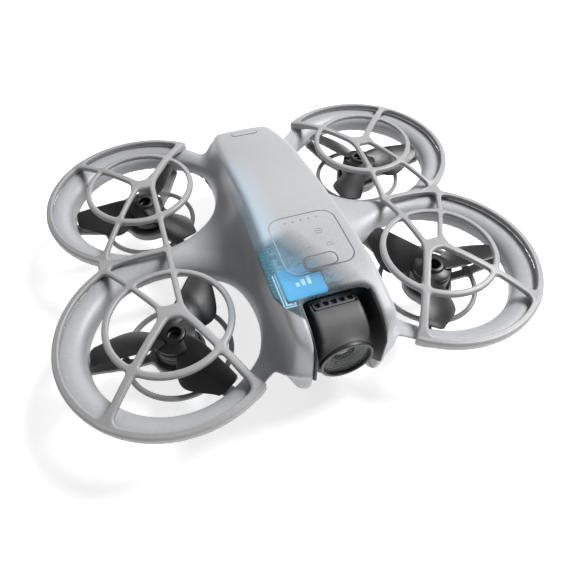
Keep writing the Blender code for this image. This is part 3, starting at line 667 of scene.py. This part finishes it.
def capped_patch(name, outer, inner, lift, depth, layers=10):
    """A thin plate that follows the crowned top, from an outline in to an open hole or to a point."""
    build = Build()
    outer = np.array(outer, float)
    inner = np.array(inner, float)
    edge = 0.12
    centre = outer.mean(axis=0)
    away = outer - centre
    away /= np.linalg.norm(away, axis=1)[:, None]
    hollow = inner - inner.mean(axis=0)
    open_hole = np.abs(hollow).max() > 0.2
    rings = [
        np.column_stack([outer, top_height(*outer.T) + lift - depth]),
        np.column_stack([outer, top_height(*outer.T) + lift - edge]),
    ]
    start = outer - away * edge
    stop = inner
    if open_hole:
        out = hollow / np.linalg.norm(hollow, axis=1)[:, None]
        stop = inner + out * edge
    for i in range(layers + 1):
        t = i / layers
        flat = start * (1 - t) + stop * t
        rings.append(np.column_stack([flat, top_height(*flat.T) + lift]))
    if open_hole:
        rings.append(np.column_stack([inner, top_height(*inner.T) + lift - edge]))
        rings.append(np.column_stack([inner, top_height(*inner.T) + lift - depth]))
        build.loft(rings, closed=True)
    else:
        build.loft(rings)
    return build.make(name)


def propeller(name, sx, sy):
    """Three broad twisted blades with squared tips, on a disc with an open collar."""
    build = Build()
    table_u = np.array([3.2, 6.0, 9.0, 12.0, 14.5, 17.5, 21.0, 24.0, 24.65, 24.9])
    lead = np.array([-3.0, -3.7, -3.9, -3.8, -3.65, -3.55, -3.45, -3.2, -2.6, -1.6])
    trail = np.array([2.4, 5.2, 7.7, 8.9, 8.7, 7.5, 5.7, 4.0, 3.4, 2.2])
    us = np.concatenate([np.linspace(3.2, 24.0, 26), np.linspace(24.2, 24.9, 7)])
    lead = np.interp(us, table_u, lead)
    trail = np.interp(us, table_u, trail)
    trail[:26] = np.convolve(np.pad(trail[:26], 2, mode="edge"), np.ones(5) / 5, mode="valid")
    pitch = np.tan(np.radians(np.interp(us, [3.2, 8.0, 15.0, 25.0], [24.0, 27.0, 22.0, 11.0])))
    high = np.interp(us, [3.2, 8.0, 16.0, 25.0], [-3.5, -3.1, -3.4, -4.0])
    thick = np.interp(us, [3.2, 10.0, 25.0], [1.3, 0.8, 0.45])
    across = 0.5 - 0.5 * np.cos(np.linspace(0.0, math.pi, 13))
    for blade in range(3):
        turn = 2 * math.pi * blade / 3
        rings = []
        for i, u in enumerate(us):
            chord = trail[i] - lead[i]
            form = np.sqrt(np.maximum(1.0 - (2.0 * across - 1.0) ** 2, 0.0))
            bow = 0.055 * chord * np.sin(math.pi * across)
            v = lead[i] + chord * across
            z = high[i] - chord * across * pitch[i] + bow
            upper = np.column_stack([np.full_like(v, u), v, z + form * thick[i] * 0.5])
            lower = np.column_stack([np.full_like(v, u), v, z - form * thick[i] * 0.5])[::-1][1:-1]
            ring = np.concatenate([upper, lower])
            x = ring[:, 0] * math.cos(turn) - ring[:, 1] * math.sin(turn)
            y = ring[:, 0] * math.sin(turn) + ring[:, 1] * math.cos(turn)
            rings.append(np.column_stack([x, y, ring[:, 2]]))
        build.loft(rings)
    build.lathe(
        (0.0, 0.0, 0.0),
        (
            (1.9, -5.35),
            (6.3, -5.35),
            (6.5, -5.1),
            (6.5, -4.5),
            (6.2, -4.2),
            (4.6, -3.9),
            (3.7, -3.6),
            (3.45, -3.2),
            (3.4, -2.75),
            (3.2, -2.6),
            (2.4, -2.6),
            (2.2, -2.8),
            (2.2, -4.6),
            (1.9, -4.8),
        ),
        56,
    )
    points = np.array(build.points) * (sx, -sy, 1.0) + (sx * DUCT_X, sy * DUCT_Y, 0.0)
    build.points = [tuple(p) for p in points]
    return build.make(name)


def motor(corner, sx, sy, shell, core):
    centre = (sx * DUCT_X, sy * DUCT_Y, 0.0)
    low = -13.4 + 0.3
    bell = Build().lathe(
        centre,
        (
            (0.0, -5.7),
            (5.3, -5.7),
            (6.1, -5.95),
            (6.6, -6.5),
            (6.7, -7.2),
            (6.7, -8.0),
            (6.55, -8.15),
            (6.55, -8.4),
            (6.7, -8.55),
            (6.7, low + 2.45),
            (6.5, low + 2.2),
            (5.8, low + 2.2),
            (5.8, -6.7),
            (0.8, -6.7),
            (0.8, -15.1),
            (0.0, -15.1),
        ),
        64,
    )
    place(bell.make(f"{corner}_bell"), f"{corner}_rotor", "motor_shell", shell, f"{corner}_motor_bell")
    coils = Build()
    coils.lathe(centre, ((1.3, low), (3.3, low), (3.3, -7.2), (1.3, -7.2)), 32)
    for i in range(9):
        angle = 2 * math.pi * i / 9
        ux, uy = math.cos(angle), math.sin(angle)
        tooth = (3.0, 4.7, 1.05, low, -7.4)
        shoe = (4.6, 5.35, 1.5, low + 0.3, -7.7)
        for inner, outer, half, bottom, top in (tooth, shoe):
            rings = []
            for radius in (inner, outer):
                ring = []
                for side, z in ((-half, bottom), (half, bottom), (half, top), (-half, top)):
                    ring.append((centre[0] + ux * radius - uy * side, centre[1] + uy * radius + ux * side, z))
                rings.append(ring)
            coils.loft(rings)
    place(coils.make(f"{corner}_coils"), "airframe", "motor_winding", core, f"{corner}_motor_stator")


def lens_parts(paints):
    front = (0.0, 0.0, PIVOT_Z)
    y = LENS_Y
    section = ((6.95, 0.25), (7.1, 0.05), (7.7, 0.0), (7.95, 0.2), (8.0, 0.5), (8.0, 1.0), (6.95, 1.0))
    bezel = Build().lathe(front, [(radius, y + depth) for radius, depth in section], 96, "Y")
    place(bezel.make("lens_ring"), "camera", "black_plastic", paints["gloss_black"], "lens_bezel")
    dome = [(6.85 * math.sin(a), y + 0.95 - 0.75 * math.cos(a)) for a in np.linspace(0.0, math.pi / 2, 14)]
    glass = Build().lathe(front, [*dome, (6.8, y + 1.05), (0.0, y + 1.0)], 96, "Y")
    place(glass.make("lens_glass"), "camera", "lens_glass", paints["lens_glass"], "lens_window")
    profile = [(6.8, y + 1.35)]
    for radius, depth in ((6.1, 1.6), (5.4, 1.95), (4.7, 2.3), (4.0, 2.6), (3.3, 2.9)):
        profile.append((radius + 0.25, y + depth - 0.28))
        profile.append((radius, y + depth - 0.2))
        profile.append((radius - 0.05, y + depth))
    profile += [(3.1, y + 3.6), (3.1, y + 5.3), (6.8, y + 5.3)]
    barrel = Build().lathe(front, profile, 96, "Y")
    place(barrel.make("lens_steps"), "camera", "black_plastic", paints["lens_steps"], "lens_barrel")
    curve = [(3.0 * math.sin(a), y + 4.2 - 1.3 * math.cos(a)) for a in np.linspace(0.0, math.pi / 2, 12)]
    element = Build().lathe(front, [*curve, (3.0, y + 5.0), (0.0, y + 5.0)], 64, "Y")
    place(element.make("inner_element"), "camera", "lens_glass", paints["inner_glass"], "inner_lens")


def bay_liner(paint):
    """Black liner of the nose bay: two cheeks that follow the nose, and a curved back."""
    build = Build()
    ys = np.linspace(-60.6, -35.4, 34)
    for sx in (-1.0, 1.0):
        rings = []
        for y in ys:
            run = max(-53.6 - y, 0.0)
            high = float(crown_line(y)) - 8.2 + math.sqrt(max(8.2**2 - run * run, 0.0)) - 1.0
            if y > BAY_TOP_Y - 0.6:
                high = min(high, PIVOT_Z + math.sqrt(max(13.6**2 - (y - PIVOT_Y) ** 2, 0.01)))
            t = (-16.0 - y) / 46.1
            low = max(-3.0 - 25.2 * (1.0 - t**1.7) ** (1 / 1.5) + 7.2, -19.0)
            if y > -38.6:
                low = max(low, PIVOT_Z - math.sqrt(max(13.6**2 - (y - PIVOT_Y) ** 2, 0.01)))
            high = max(high, low + 0.2)
            far = sx * 9.98
            near = sx * 9.55
            rings.append([(far, y, low), (far, y, high), (near, y, high - 0.1), (near, y, low)])
        build.loft(rings)
    arc = []
    for i in range(25):
        a = math.radians(110.0 + 88.0 * i / 24)
        arc.append((PIVOT_Y - 13.55 * math.cos(a), PIVOT_Z + 13.55 * math.sin(a)))
    for i in range(24, -1, -1):
        a = math.radians(110.0 + 88.0 * i / 24)
        arc.append((PIVOT_Y - 13.0 * math.cos(a), PIVOT_Z + 13.0 * math.sin(a)))
    build.loft([[(x, y, z) for y, z in arc] for x in (-9.7, 9.7)])
    place(build.make("bay_liner"), "airframe", "black_plastic", paint, "camera_bracket")


def controls(paints):
    outer = [(x, PANEL_Y + y) for x, y in rounded(PANEL_X, PANEL_HALF_Y, 3.8, 10)]
    hole = [(x, BUTTON_Y + y) for x, y in rounded(4.9, 2.3, 1.9, 10)]
    panel = capped_patch("panel_face", outer, hole, 0.03, 0.3)
    place(panel, "airframe", "panel_plastic", paints["top"], "control_panel")
    key = [(x, BUTTON_Y + y) for x, y in rounded(4.62, 2.05, 1.7, 10)]
    face = capped_patch("mode_key_cap", key, [(0.0, BUTTON_Y)] * len(key), 0.03, 1.3, 6)
    place(face, "mode_key", "panel_plastic", paints["top"], "mode_button")
    power = [(x, POWER_Y + y) for x, y in rounded(4.9, 1.8, 1.4, 10)]
    face = capped_patch("power_key_cap", power, [(0.0, POWER_Y)] * len(power), 0.12, 2.0, 6)
    place(face, "power_key", "panel_plastic", paints["top"], "power_button")
    pips = Build()
    for i in range(5):
        x = -4.9 + 2.45 * i
        z = float(top_height(np.array(x), np.array(-18.9)))
        pips.lathe((x, -18.9, z), ((0.0, 0.11), (0.22, 0.1), (0.38, 0.06), (0.45, -0.3), (0.0, -0.3)), 20)
    pips.block((-5.8, -19.8, 17.7), (5.8, -18.0, 18.7))
    place(pips.make("status_pips"), "airframe", "light_guide", paints["light"], "light_guide")
    marks = Build()
    places = (("slash", -3.1, -26.3), ("ring", 3.4, -24.9), ("dots", -2.4, -31.0), ("peak", 4.6, -30.6))
    for kind, x, y in places:
        strokes = []
        if kind == "ring":
            angles = np.linspace(0.0, 2 * math.pi, 25)
            strokes.append([(x + 1.0 * math.cos(a), y + 1.0 * math.sin(a)) for a in angles])
            strokes.append([(x - 0.4, y), (x + 0.4, y)])
        elif kind == "slash":
            strokes.append([(x - 1.3, y - 1.0), (x - 0.1, y - 0.2), (x - 0.3, y + 0.5), (x + 1.2, y + 1.2)])
        elif kind == "dots":
            for dx in (-1.0, 0.0, 1.0):
                strokes.append([(x + dx - 0.2, y), (x + dx + 0.2, y)])
            strokes.append([(x - 1.1, y + 0.7), (x + 1.1, y + 0.7)])
        else:
            strokes.append([(x - 1.1, y - 0.6), (x, y + 0.7), (x + 1.1, y - 0.6)])
            strokes.append([(x - 1.1, y - 0.6), (x + 1.1, y - 0.6)])
        for stroke in strokes:
            stroke = np.array(stroke)
            for a, b in zip(stroke[:-1], stroke[1:]):
                run = (b - a) / max(np.linalg.norm(b - a), 1e-6)
                side = np.array([-run[1], run[0]]) * 0.1
                start = a - run * 0.05
                stop = b + run * 0.05
                corners = np.array([start - side, stop - side, stop + side, start + side])
                heights = top_height(*corners.T)
                rings = [np.column_stack([corners, heights + lift]) for lift in (0.0, 0.075)]
                marks.loft(rings)
    place(marks.make("mode_marks", smooth=False), "airframe", "panel_plastic", paints["mark"])


def electronics(paints):
    """The two boards, the surface parts on the upper one and the memory module in its socket."""
    rng = np.random.default_rng(7)
    shields = ((-6.4, -25.6, 3.8, 4.2), (3.6, -25.4, 3.1, 3.0))
    board = Build()
    board.slab([(x - 1.7, y - 29.7) for x, y in rounded(10.5, 10.9, 0.8, 3)], 16.1, 16.55, 0.08)
    place(board.make("main_board_plate"), "airframe", "circuit_board", paints["board"], "main_board")
    parts = Build()
    spots = []
    for _ in range(500):
        x = -11.6 + 0.9 * rng.integers(0, 23)
        y = -39.6 + 0.9 * rng.integers(0, 22)
        w, d = ((0.3, 0.3), (0.65, 0.3), (0.3, 0.65), (0.75, 0.75), (1.1, 0.6))[rng.integers(0, 5)]
        if abs(x - MEMORY_X) < 6.0 + w and y < MEMORY_Y + 5.5 + d:
            continue
        if any(abs(x - a) < c + w and abs(y - b) < e + d for a, b, c, e in shields):
            continue
        if any(abs(x - a) < w + c + 0.2 and abs(y - b) < d + e + 0.2 for a, b, c, e in spots):
            continue
        spots.append((x, y, w, d))
    for x, y, w, d in spots:
        parts.block((x - w, y - d, 16.5), (x + w, y + d, 16.62 + 0.35 * min(w, d) + 0.15), 0.04)
    place(parts.make("surface_parts"), "airframe", "circuit_board", paints["parts"])
    lower = Build()
    lower.slab([(x, y - 8.0) for x, y in rounded(12.9, 30.0, 3.0, 4)], 3.0, 3.9, 0.1)
    place(lower.make("power_board_plate"), "airframe", "circuit_board", paints["board"], "power_board")
    chip = Build()
    chip.slab([(MEMORY_X + x, MEMORY_Y + y) for x, y in rounded(5.75, 5.15, 0.8, 5)], 16.9, 17.75, 0.15)
    place(chip.make("memory_block"), "airframe", "memory_blue", paints["memory"], "memory_module")
    bars = Build()
    for i, height in enumerate((1.4, 2.2, 3.0)):
        x = MEMORY_X - 1.6 + 1.7 * i
        bars.block((x - 0.5, MEMORY_Y - 1.5, 17.7), (x + 0.5, MEMORY_Y - 1.5 + height, 17.8), 0.03)
    place(bars.make("memory_mark"), "airframe", "memory_blue", paints["white"])
    frame = Build()
    for inset, width in ((6.35, 0.22), (7.15, 0.16)):
        x0 = MEMORY_X - inset
        y0 = MEMORY_Y - inset + 0.5
        frame.block((x0 - width, y0, 16.5), (x0 + width, MEMORY_Y + 5.0, 16.95), 0.05)
        frame.block((x0 - width, y0 - width, 16.5), (-10.4, y0 + width, 16.95), 0.05)
    place(frame.make("socket_frame"), "airframe", "contact_gold", paints["frame"])
    pads = Build()
    for i in range(9):
        x = MEMORY_X - 4.6 + 1.15 * i
        pads.block((x - 0.35, MEMORY_Y - 5.95, 16.5), (x + 0.35, MEMORY_Y - 5.25, 17.1), 0.05)
    for i in range(7):
        y = MEMORY_Y - 4.2 + 1.25 * i
        pads.block((MEMORY_X + 5.9, y - 0.35, 16.5), (MEMORY_X + 6.5, y + 0.35, 17.0), 0.05)
    place(pads.make("memory_pads"), "airframe", "contact_gold", paints["pads"], "memory_socket")


def palette():
    """Every paint by its short name. Five of them also glow faintly, as painted light on parts under the
    shell that are no lamps.
    """
    plain = {
        "guard": ("guard plastic", (0.30, 0.30, 0.305), 0.42, 1100.0, 0.05, 0.03),
        "mount": ("mount plastic", (0.20, 0.20, 0.202), 0.5, 1000.0, 0.05, 0.04),
        "gloss_black": ("gloss black", (0.012, 0.012, 0.013), 0.4, 900.0, 0.02, 0.1),
        "black": ("black liner", (0.01, 0.01, 0.011), 0.5, 900.0, 0.06, 0.1),
        "prop": ("propeller charcoal", (0.011, 0.011, 0.012), 0.38, 1400.0, 0.08, 0.12),
        "motor": ("anodised black", (0.014, 0.014, 0.015), 0.36, 1500.0, 0.03, 0.1, 0.2),
        "core": ("enamelled copper", (0.10, 0.045, 0.02), 0.35, 2000.0, 0.2, 0.2, 0.8),
        "camera": ("camera satin", (0.085, 0.083, 0.086), 0.52, 1500.0, 0.06, 0.08),
        "cover": ("camera cover", (0.078, 0.076, 0.078), 0.52, 1500.0, 0.06, 0.08),
        "panel": ("panel plastic", (0.455, 0.46, 0.475), 0.4, 1100.0, 0.04, 0.02),
        "mark": ("printed mark", (0.25, 0.25, 0.26), 0.5, 1100.0, 0.02, 0.05),
        "light": ("pip grey", (0.24, 0.25, 0.26), 0.3, 900.0, 0.02, 0.03),
        "parts": ("component grey", (0.10, 0.20, 0.24), 0.35, 1500.0, 0.05, 0.3),
        "memory": ("memory blue", (0.02, 0.34, 0.60), 0.25, 900.0, 0.02, 0.06),
        "white": ("mark white", (0.85, 0.86, 0.88), 0.4, 900.0, 0.02, 0.02),
        "frame": ("socket frame", (0.5, 0.66, 0.72), 0.4, 900.0, 0.02, 0.05),
        "pads": ("contact dark", (0.02, 0.06, 0.09), 0.3, 900.0, 0.02, 0.1),
        "steel": ("steel", (0.5, 0.5, 0.52), 0.28, 1500.0, 0.04, 0.08, 1.0),
        "battery": ("battery case", (0.3, 0.3, 0.31), 0.48, 1100.0, 0.06, 0.04),
        "lens_steps": ("lens steps", (0.022, 0.030, 0.025), 0.3, 900.0, 0.02, 0.1, 0.3),
        "inner_glass": ("inner glass", (0.012, 0.02, 0.016), 0.05, 900.0, 0.0, 0.1, 0.0, 1.0),
    }
    paints = {name: plastic(*settings) for name, settings in plain.items()}
    paints["top"] = shell_material()
    paints["board"] = board_material()
    paints["lens_glass"] = glass_material()
    # faint glow on the board, its parts, the memory module, its mark and its socket frame: painted light
    # standing in for lamp light reaching them under the shell
    painted_glow(paints["board"], (0.22, 0.44, 0.52), 0.5)
    painted_glow(paints["parts"], (0.08, 0.22, 0.28), 0.3)
    painted_glow(paints["memory"], (0.01, 0.46, 0.78), 0.6)
    painted_glow(paints["white"], (0.9, 0.97, 1.0), 0.5)
    painted_glow(paints["frame"], (0.5, 0.7, 0.78), 0.3)
    return paints


def main():
    """Every skin and fitted piece of the craft, and a paint for each CAD piece that stays in view."""
    paints = palette()
    points, faces = field_mesh(upper_shell, (-79.0, -66.0, -9.6), (79.0, 66.0, 21.6), 0.55)
    skin = mesh_object("upper_shell_skin", points, faces)
    place(skin, "airframe", "shell_plastic", paints["top"], "upper_shell")
    points, faces = field_mesh(lower_shell, (-22.0, -64.0, -29.0), (22.0, 61.0, -7.5), 0.6)
    skin = mesh_object("lower_shell_skin", points, faces)
    place(skin, "airframe", "shell_plastic", paints["top"], "lower_shell")
    points, faces = field_mesh(guard, (8.0, -68.0, -4.0), (81.0, 68.0, 8.0), 0.42)
    for side, sx in (("left", -1.0), ("right", 1.0)):
        p, f = mirrored(points, faces, sx)
        grille = mesh_object(f"{side}_guard_grille", p, f)
        place(grille, "airframe", "guard_plastic", paints["guard"], f"{side}_propeller_guard")
    points, faces = field_mesh(cage, (-29.0, -29.0, -16.5), (29.0, 29.0, -7.8), 0.42)
    for end, side, sy, sx in CORNERS:
        corner = f"{end}_{side}"
        p, f = mirrored(points, faces, sx, 1.0, (sx * DUCT_X, sy * DUCT_Y, 0.0))
        carrier = mesh_object(f"{corner}_motor_carrier", p, f)
        place(carrier, "airframe", "mount_plastic", paints["mount"], f"{corner}_motor_mount")
        blades = propeller(f"{corner}_blades", sx, sy)
        place(blades, f"{corner}_rotor", "propeller_plastic", paints["prop"], f"{corner}_propeller")
        motor(corner, sx, sy, paints["motor"], paints["core"])
    points, faces = field_mesh(camera_drum, (-9.6, -62.0, -9.6), (9.6, -34.0, 18.0), 0.36)
    drum = mesh_object("camera_drum", points, faces)
    place(drum, "camera", "camera_satin", paints["camera"], "camera_body")
    points, faces = field_mesh(camera_comb, (-7.0, -50.0, 13.0), (7.0, -42.5, 15.6), 0.18)
    comb = mesh_object("camera_comb", points, faces)
    place(comb, "camera", "camera_satin", paints["cover"], "camera_top_cover")
    lens_parts(paints)
    bay_liner(paints["black"])
    controls(paints)
    electronics(paints)
    keep = {
        "steel": ["camera_axle", "processor_shield", "radio_shield", "usb_port"],
        "battery": ["battery_pack"],
        "panel": ["battery_latch_left", "battery_latch_right"],
        "inner_glass": ["downward_camera", "range_sensor"],
    }
    keep["steel"] += [f"board_screw_{i}" for i in range(1, 5)]
    for paint, names in keep.items():
        for name in names:
            node = bpy.data.objects[name]
            node.data.materials.clear()
            node.data.materials.append(paints[paint])


def painted_glow(material, colour, strength):
    """Adds a faint even glow to a material: painted light on a part that is no lamp."""
    shader = material.node_tree.nodes["Principled BSDF"]
    shader.inputs["Emission Color"].default_value = (*colour, 1.0)
    shader.inputs["Emission Strength"].default_value = strength


def rounded_line(tree, spot, centre, half, radius, width, floor=0.0355):
    """1 on a thin outline of a rounded rectangle in plan, metres."""
    axes = link(tree, "ShaderNodeSeparateXYZ", {0: spot})
    parts = []
    for i in range(2):
        away = math_node(tree, "ABSOLUTE", math_node(tree, "SUBTRACT", axes.outputs[i], centre[i]))
        parts.append(math_node(tree, "SUBTRACT", away, half[i] - radius))
    inside = math_node(tree, "MINIMUM", math_node(tree, "MAXIMUM", parts[0], parts[1]), 0.0)
    squares = [math_node(tree, "POWER", math_node(tree, "MAXIMUM", p, 0.0), 2.0) for p in parts]
    outside = math_node(tree, "SQRT", math_node(tree, "ADD", squares[0], squares[1]))
    field = math_node(tree, "SUBTRACT", math_node(tree, "ADD", inside, outside), radius)
    near = math_node(tree, "ABSOLUTE", field)
    line = ramp(tree, near, (width * 0.5, width), (1.0, 0.0))
    high = ramp(tree, axes.outputs[2], (floor, floor + 0.0003), (0.0, 1.0))
    return math_node(tree, "MULTIPLY", line, high)


def shell_material():
    """Fine grey plastic that turns clear and blue over the electronics, with thin seams round the keys
    darkened as painted shade in their gaps.
    """
    material = plastic("shell plastic", (0.36, 0.365, 0.38), 0.42, 1100.0, 0.04, 0.02)
    tree = material.node_tree
    shader = tree.nodes["Principled BSDF"]
    spot = link(tree, "ShaderNodeTexCoord").outputs["Object"]
    seam = rounded_line(tree, spot, (0.0, PANEL_Y * MM), (0.01025, 0.01095), 0.0040, 0.00026)
    power = rounded_line(tree, spot, (0.0, POWER_Y * MM), (0.00505, 0.00195), 0.0015, 0.0003, 0.0315)
    mode = rounded_line(tree, spot, (0.0, BUTTON_Y * MM), (0.00476, 0.00218), 0.0018, 0.00024)
    both = math_node(tree, "MAXIMUM", math_node(tree, "MAXIMUM", seam, mode), power)
    # the seams round the panel and keys are darkened: painted shade in the gaps between the parts
    base = shader.inputs["Base Color"].links[0].from_socket
    seam_shaded = mix_colour(tree, both, base, (0.08, 0.085, 0.1))
    tree.links.new(seam_shaded, shader.inputs["Base Color"])
    # plan position of the board seen through the skin, carried down a slant to the board's level
    x, y, z = link(tree, "ShaderNodeSeparateXYZ", {0: spot}).outputs
    left = ramp(tree, x, (0.0080, 0.0100), (1.0, 0.0))
    depth = math_node(tree, "SUBTRACT", z, BOARD_LEVEL)
    x = math_node(tree, "ADD", x, math_node(tree, "MULTIPLY", depth, SLANT_X))
    y = math_node(tree, "ADD", y, math_node(tree, "MULTIPLY", depth, SLANT_Y))
    inside = math_node(tree, "MULTIPLY", ramp(tree, z, CAVITY_LEVEL, (0.0, 1.0)), left)
    past_edge = ramp(tree, x, ZONE_EDGE, (0.0, 1.0))
    leaning = math_node(tree, "ADD", x, math_node(tree, "MULTIPLY", math_node(tree, "ADD", y, 0.034), 0.55))
    skewed = math_node(tree, "ADD", math_node(tree, "MULTIPLY", x, -0.45), y)
    cut_x = math_node(tree, "MULTIPLY", x, 0.805)
    notch = math_node(tree, "ADD", cut_x, math_node(tree, "MULTIPLY", y, 0.593))
    front = ramp(tree, notch, (-0.0381, -0.0376), (0.0, 1.0))
    zone = product(
        tree,
        past_edge,
        ramp(tree, leaning, (-0.0025, 0.0065), (1.0, 0.0)),
        ramp(tree, skewed, (-0.0185, -0.0150), (1.0, 0.0)),
        front,
    )
    trail = product(
        tree,
        past_edge,
        ramp(tree, x, (-0.0145, -0.0045), (1.0, 0.0)),
        ramp(tree, y, (-0.020, 0.026), (1.0, 0.2)),
        ramp(tree, y, (0.016, 0.028), (1.0, 0.0)),
        front,
        inside,
    )
    tinted = mix_colour(tree, trail, seam_shaded, (0.40, 0.56, 0.68))
    tree.links.new(tinted, shader.inputs["Base Color"])
    solid_line = math_node(tree, "SUBTRACT", 1.0, both, clamp=True)
    clear = product(tree, zone, 0.8, solid_line, inside)
    through = link(tree, "ShaderNodeBsdfTransparent", {"Color": (0.80, 0.93, 0.98, 1.0)})
    mix = link(tree, "ShaderNodeMixShader", {0: clear, 1: shader.outputs[0], 2: through.outputs[0]})
    tree.links.new(mix.outputs[0], tree.nodes["Material Output"].inputs["Surface"])
    return material


def board_material():
    """Pale teal solder mask with darker traces and vias."""
    material = plastic("circuit board", (0.16, 0.42, 0.50), 0.35, 1500.0, 0.03, 0.1)
    tree = material.node_tree
    shader = tree.nodes["Principled BSDF"]
    spot = link(tree, "ShaderNodeTexCoord").outputs["Object"]
    bricks = link(
        tree,
        "ShaderNodeTexBrick",
        {
            "Vector": spot,
            "Color1": (1.0, 1.0, 1.0, 1.0),
            "Color2": (0.8, 0.8, 0.8, 1.0),
            "Mortar": (0.0, 0.0, 0.0, 1.0),
            "Scale": 260.0,
            "Mortar Size": 0.06,
            "Brick Width": 0.7,
            "Row Height": 0.35,
        },
    )
    base = shader.inputs["Base Color"].links[0].from_socket
    traced = mix_colour(tree, bricks.outputs["Fac"], base, (0.03, 0.16, 0.22))
    tree.links.new(traced, shader.inputs["Base Color"])
    return material


def glass_material():
    """Coated front glass: mostly clear, with a tight reflection that rises at grazing angles."""
    material, tree, shader = new_material("lens glass")
    spot = link(tree, "ShaderNodeTexCoord").outputs["Object"]
    smear = noise(tree, spot, 300.0, 3.0)
    tree.links.new(ramp(tree, smear, (0.3, 0.7), (0.02, 0.07)), shader.inputs["Roughness"])
    tint = mix_colour(tree, smear, (0.03, 0.06, 0.05), (0.05, 0.05, 0.07))
    tree.links.new(tint, shader.inputs["Base Color"])
    shader.inputs["Alpha"].default_value = 0.12
    shader.inputs["Specular IOR Level"].default_value = 0.5
    shader.inputs["Coat Weight"].default_value = 0.25
    shader.inputs["Coat Roughness"].default_value = 0.02
    return material


def stage():
    """The floor, the even sky and two soft lamps."""
    floor = bpy.data.meshes.new("floor")
    corners = [(FLOOR_SIZE * x, FLOOR_SIZE * y, 0.0) for x, y in ((-1, -1), (1, -1), (1, 1), (-1, 1))]
    floor.from_pydata(corners, [], [(0, 1, 2, 3)])
    ground = bpy.data.objects.new("floor", floor)
    bpy.context.scene.collection.objects.link(ground)
    ground.location = (0.0, 0.0, -FLOOR_DROP)
    material, _, shader = new_material("pale floor")
    shader.inputs["Base Color"].default_value = (FLOOR_GREY, FLOOR_GREY, FLOOR_GREY, 1.0)
    shader.inputs["Roughness"].default_value = 0.9
    shader.inputs["Emission Color"].default_value = (1.0, 1.0, 1.0, 1.0)
    shader.inputs["Emission Strength"].default_value = FLOOR_GLOW
    floor.materials.append(material)

    world = bpy.data.worlds.new("studio")
    bpy.context.scene.world = world
    world.use_nodes = True
    sky = world.node_tree.nodes["Background"]
    sky.inputs["Color"].default_value = (1.0, 1.0, 1.0, 1.0)
    sky.inputs["Strength"].default_value = SKY_STRENGTH
    bpy.context.scene.view_settings.view_transform = "Standard"
    for name, spot, size, power in LAMPS:
        lamp = bpy.data.lights.new(name, "AREA")
        lamp.shape = "DISK"
        lamp.size = size
        lamp.energy = power
        obj = bpy.data.objects.new(name, lamp)
        obj.location = spot
        obj.rotation_euler = (-Vector(spot)).to_track_quat("-Z", "Y").to_euler()
        bpy.context.scene.collection.objects.link(obj)


def camera():
    """The camera, on a line from the craft set by its azimuth and rise, and turned about it by its roll."""
    azimuth = math.radians(VIEW_AZIMUTH)
    rise = math.radians(VIEW_RISE)
    roll = math.radians(VIEW_ROLL)
    back = Vector((math.sin(azimuth) * math.cos(rise), -math.cos(azimuth) * math.cos(rise), math.sin(rise)))
    right = Vector((math.cos(azimuth), math.sin(azimuth), 0.0))
    up = back.cross(right)
    across = right * math.cos(roll) + up * math.sin(roll)
    upward = up * math.cos(roll) - right * math.sin(roll)
    lens = bpy.data.cameras.new("camera")
    lens.angle = math.radians(VIEW_ANGLE)
    lens.clip_start = 0.005
    obj = bpy.data.objects.new("camera", lens)
    turn = Matrix((across, upward, back)).transposed().to_4x4()
    x, y, height = VIEW_PLACE
    obj.matrix_world = Matrix.Translation((x, y, height + RIM_Z * MM)) @ turn
    bpy.context.scene.collection.objects.link(obj)
    bpy.context.scene.camera = obj


main()
stage()
camera()
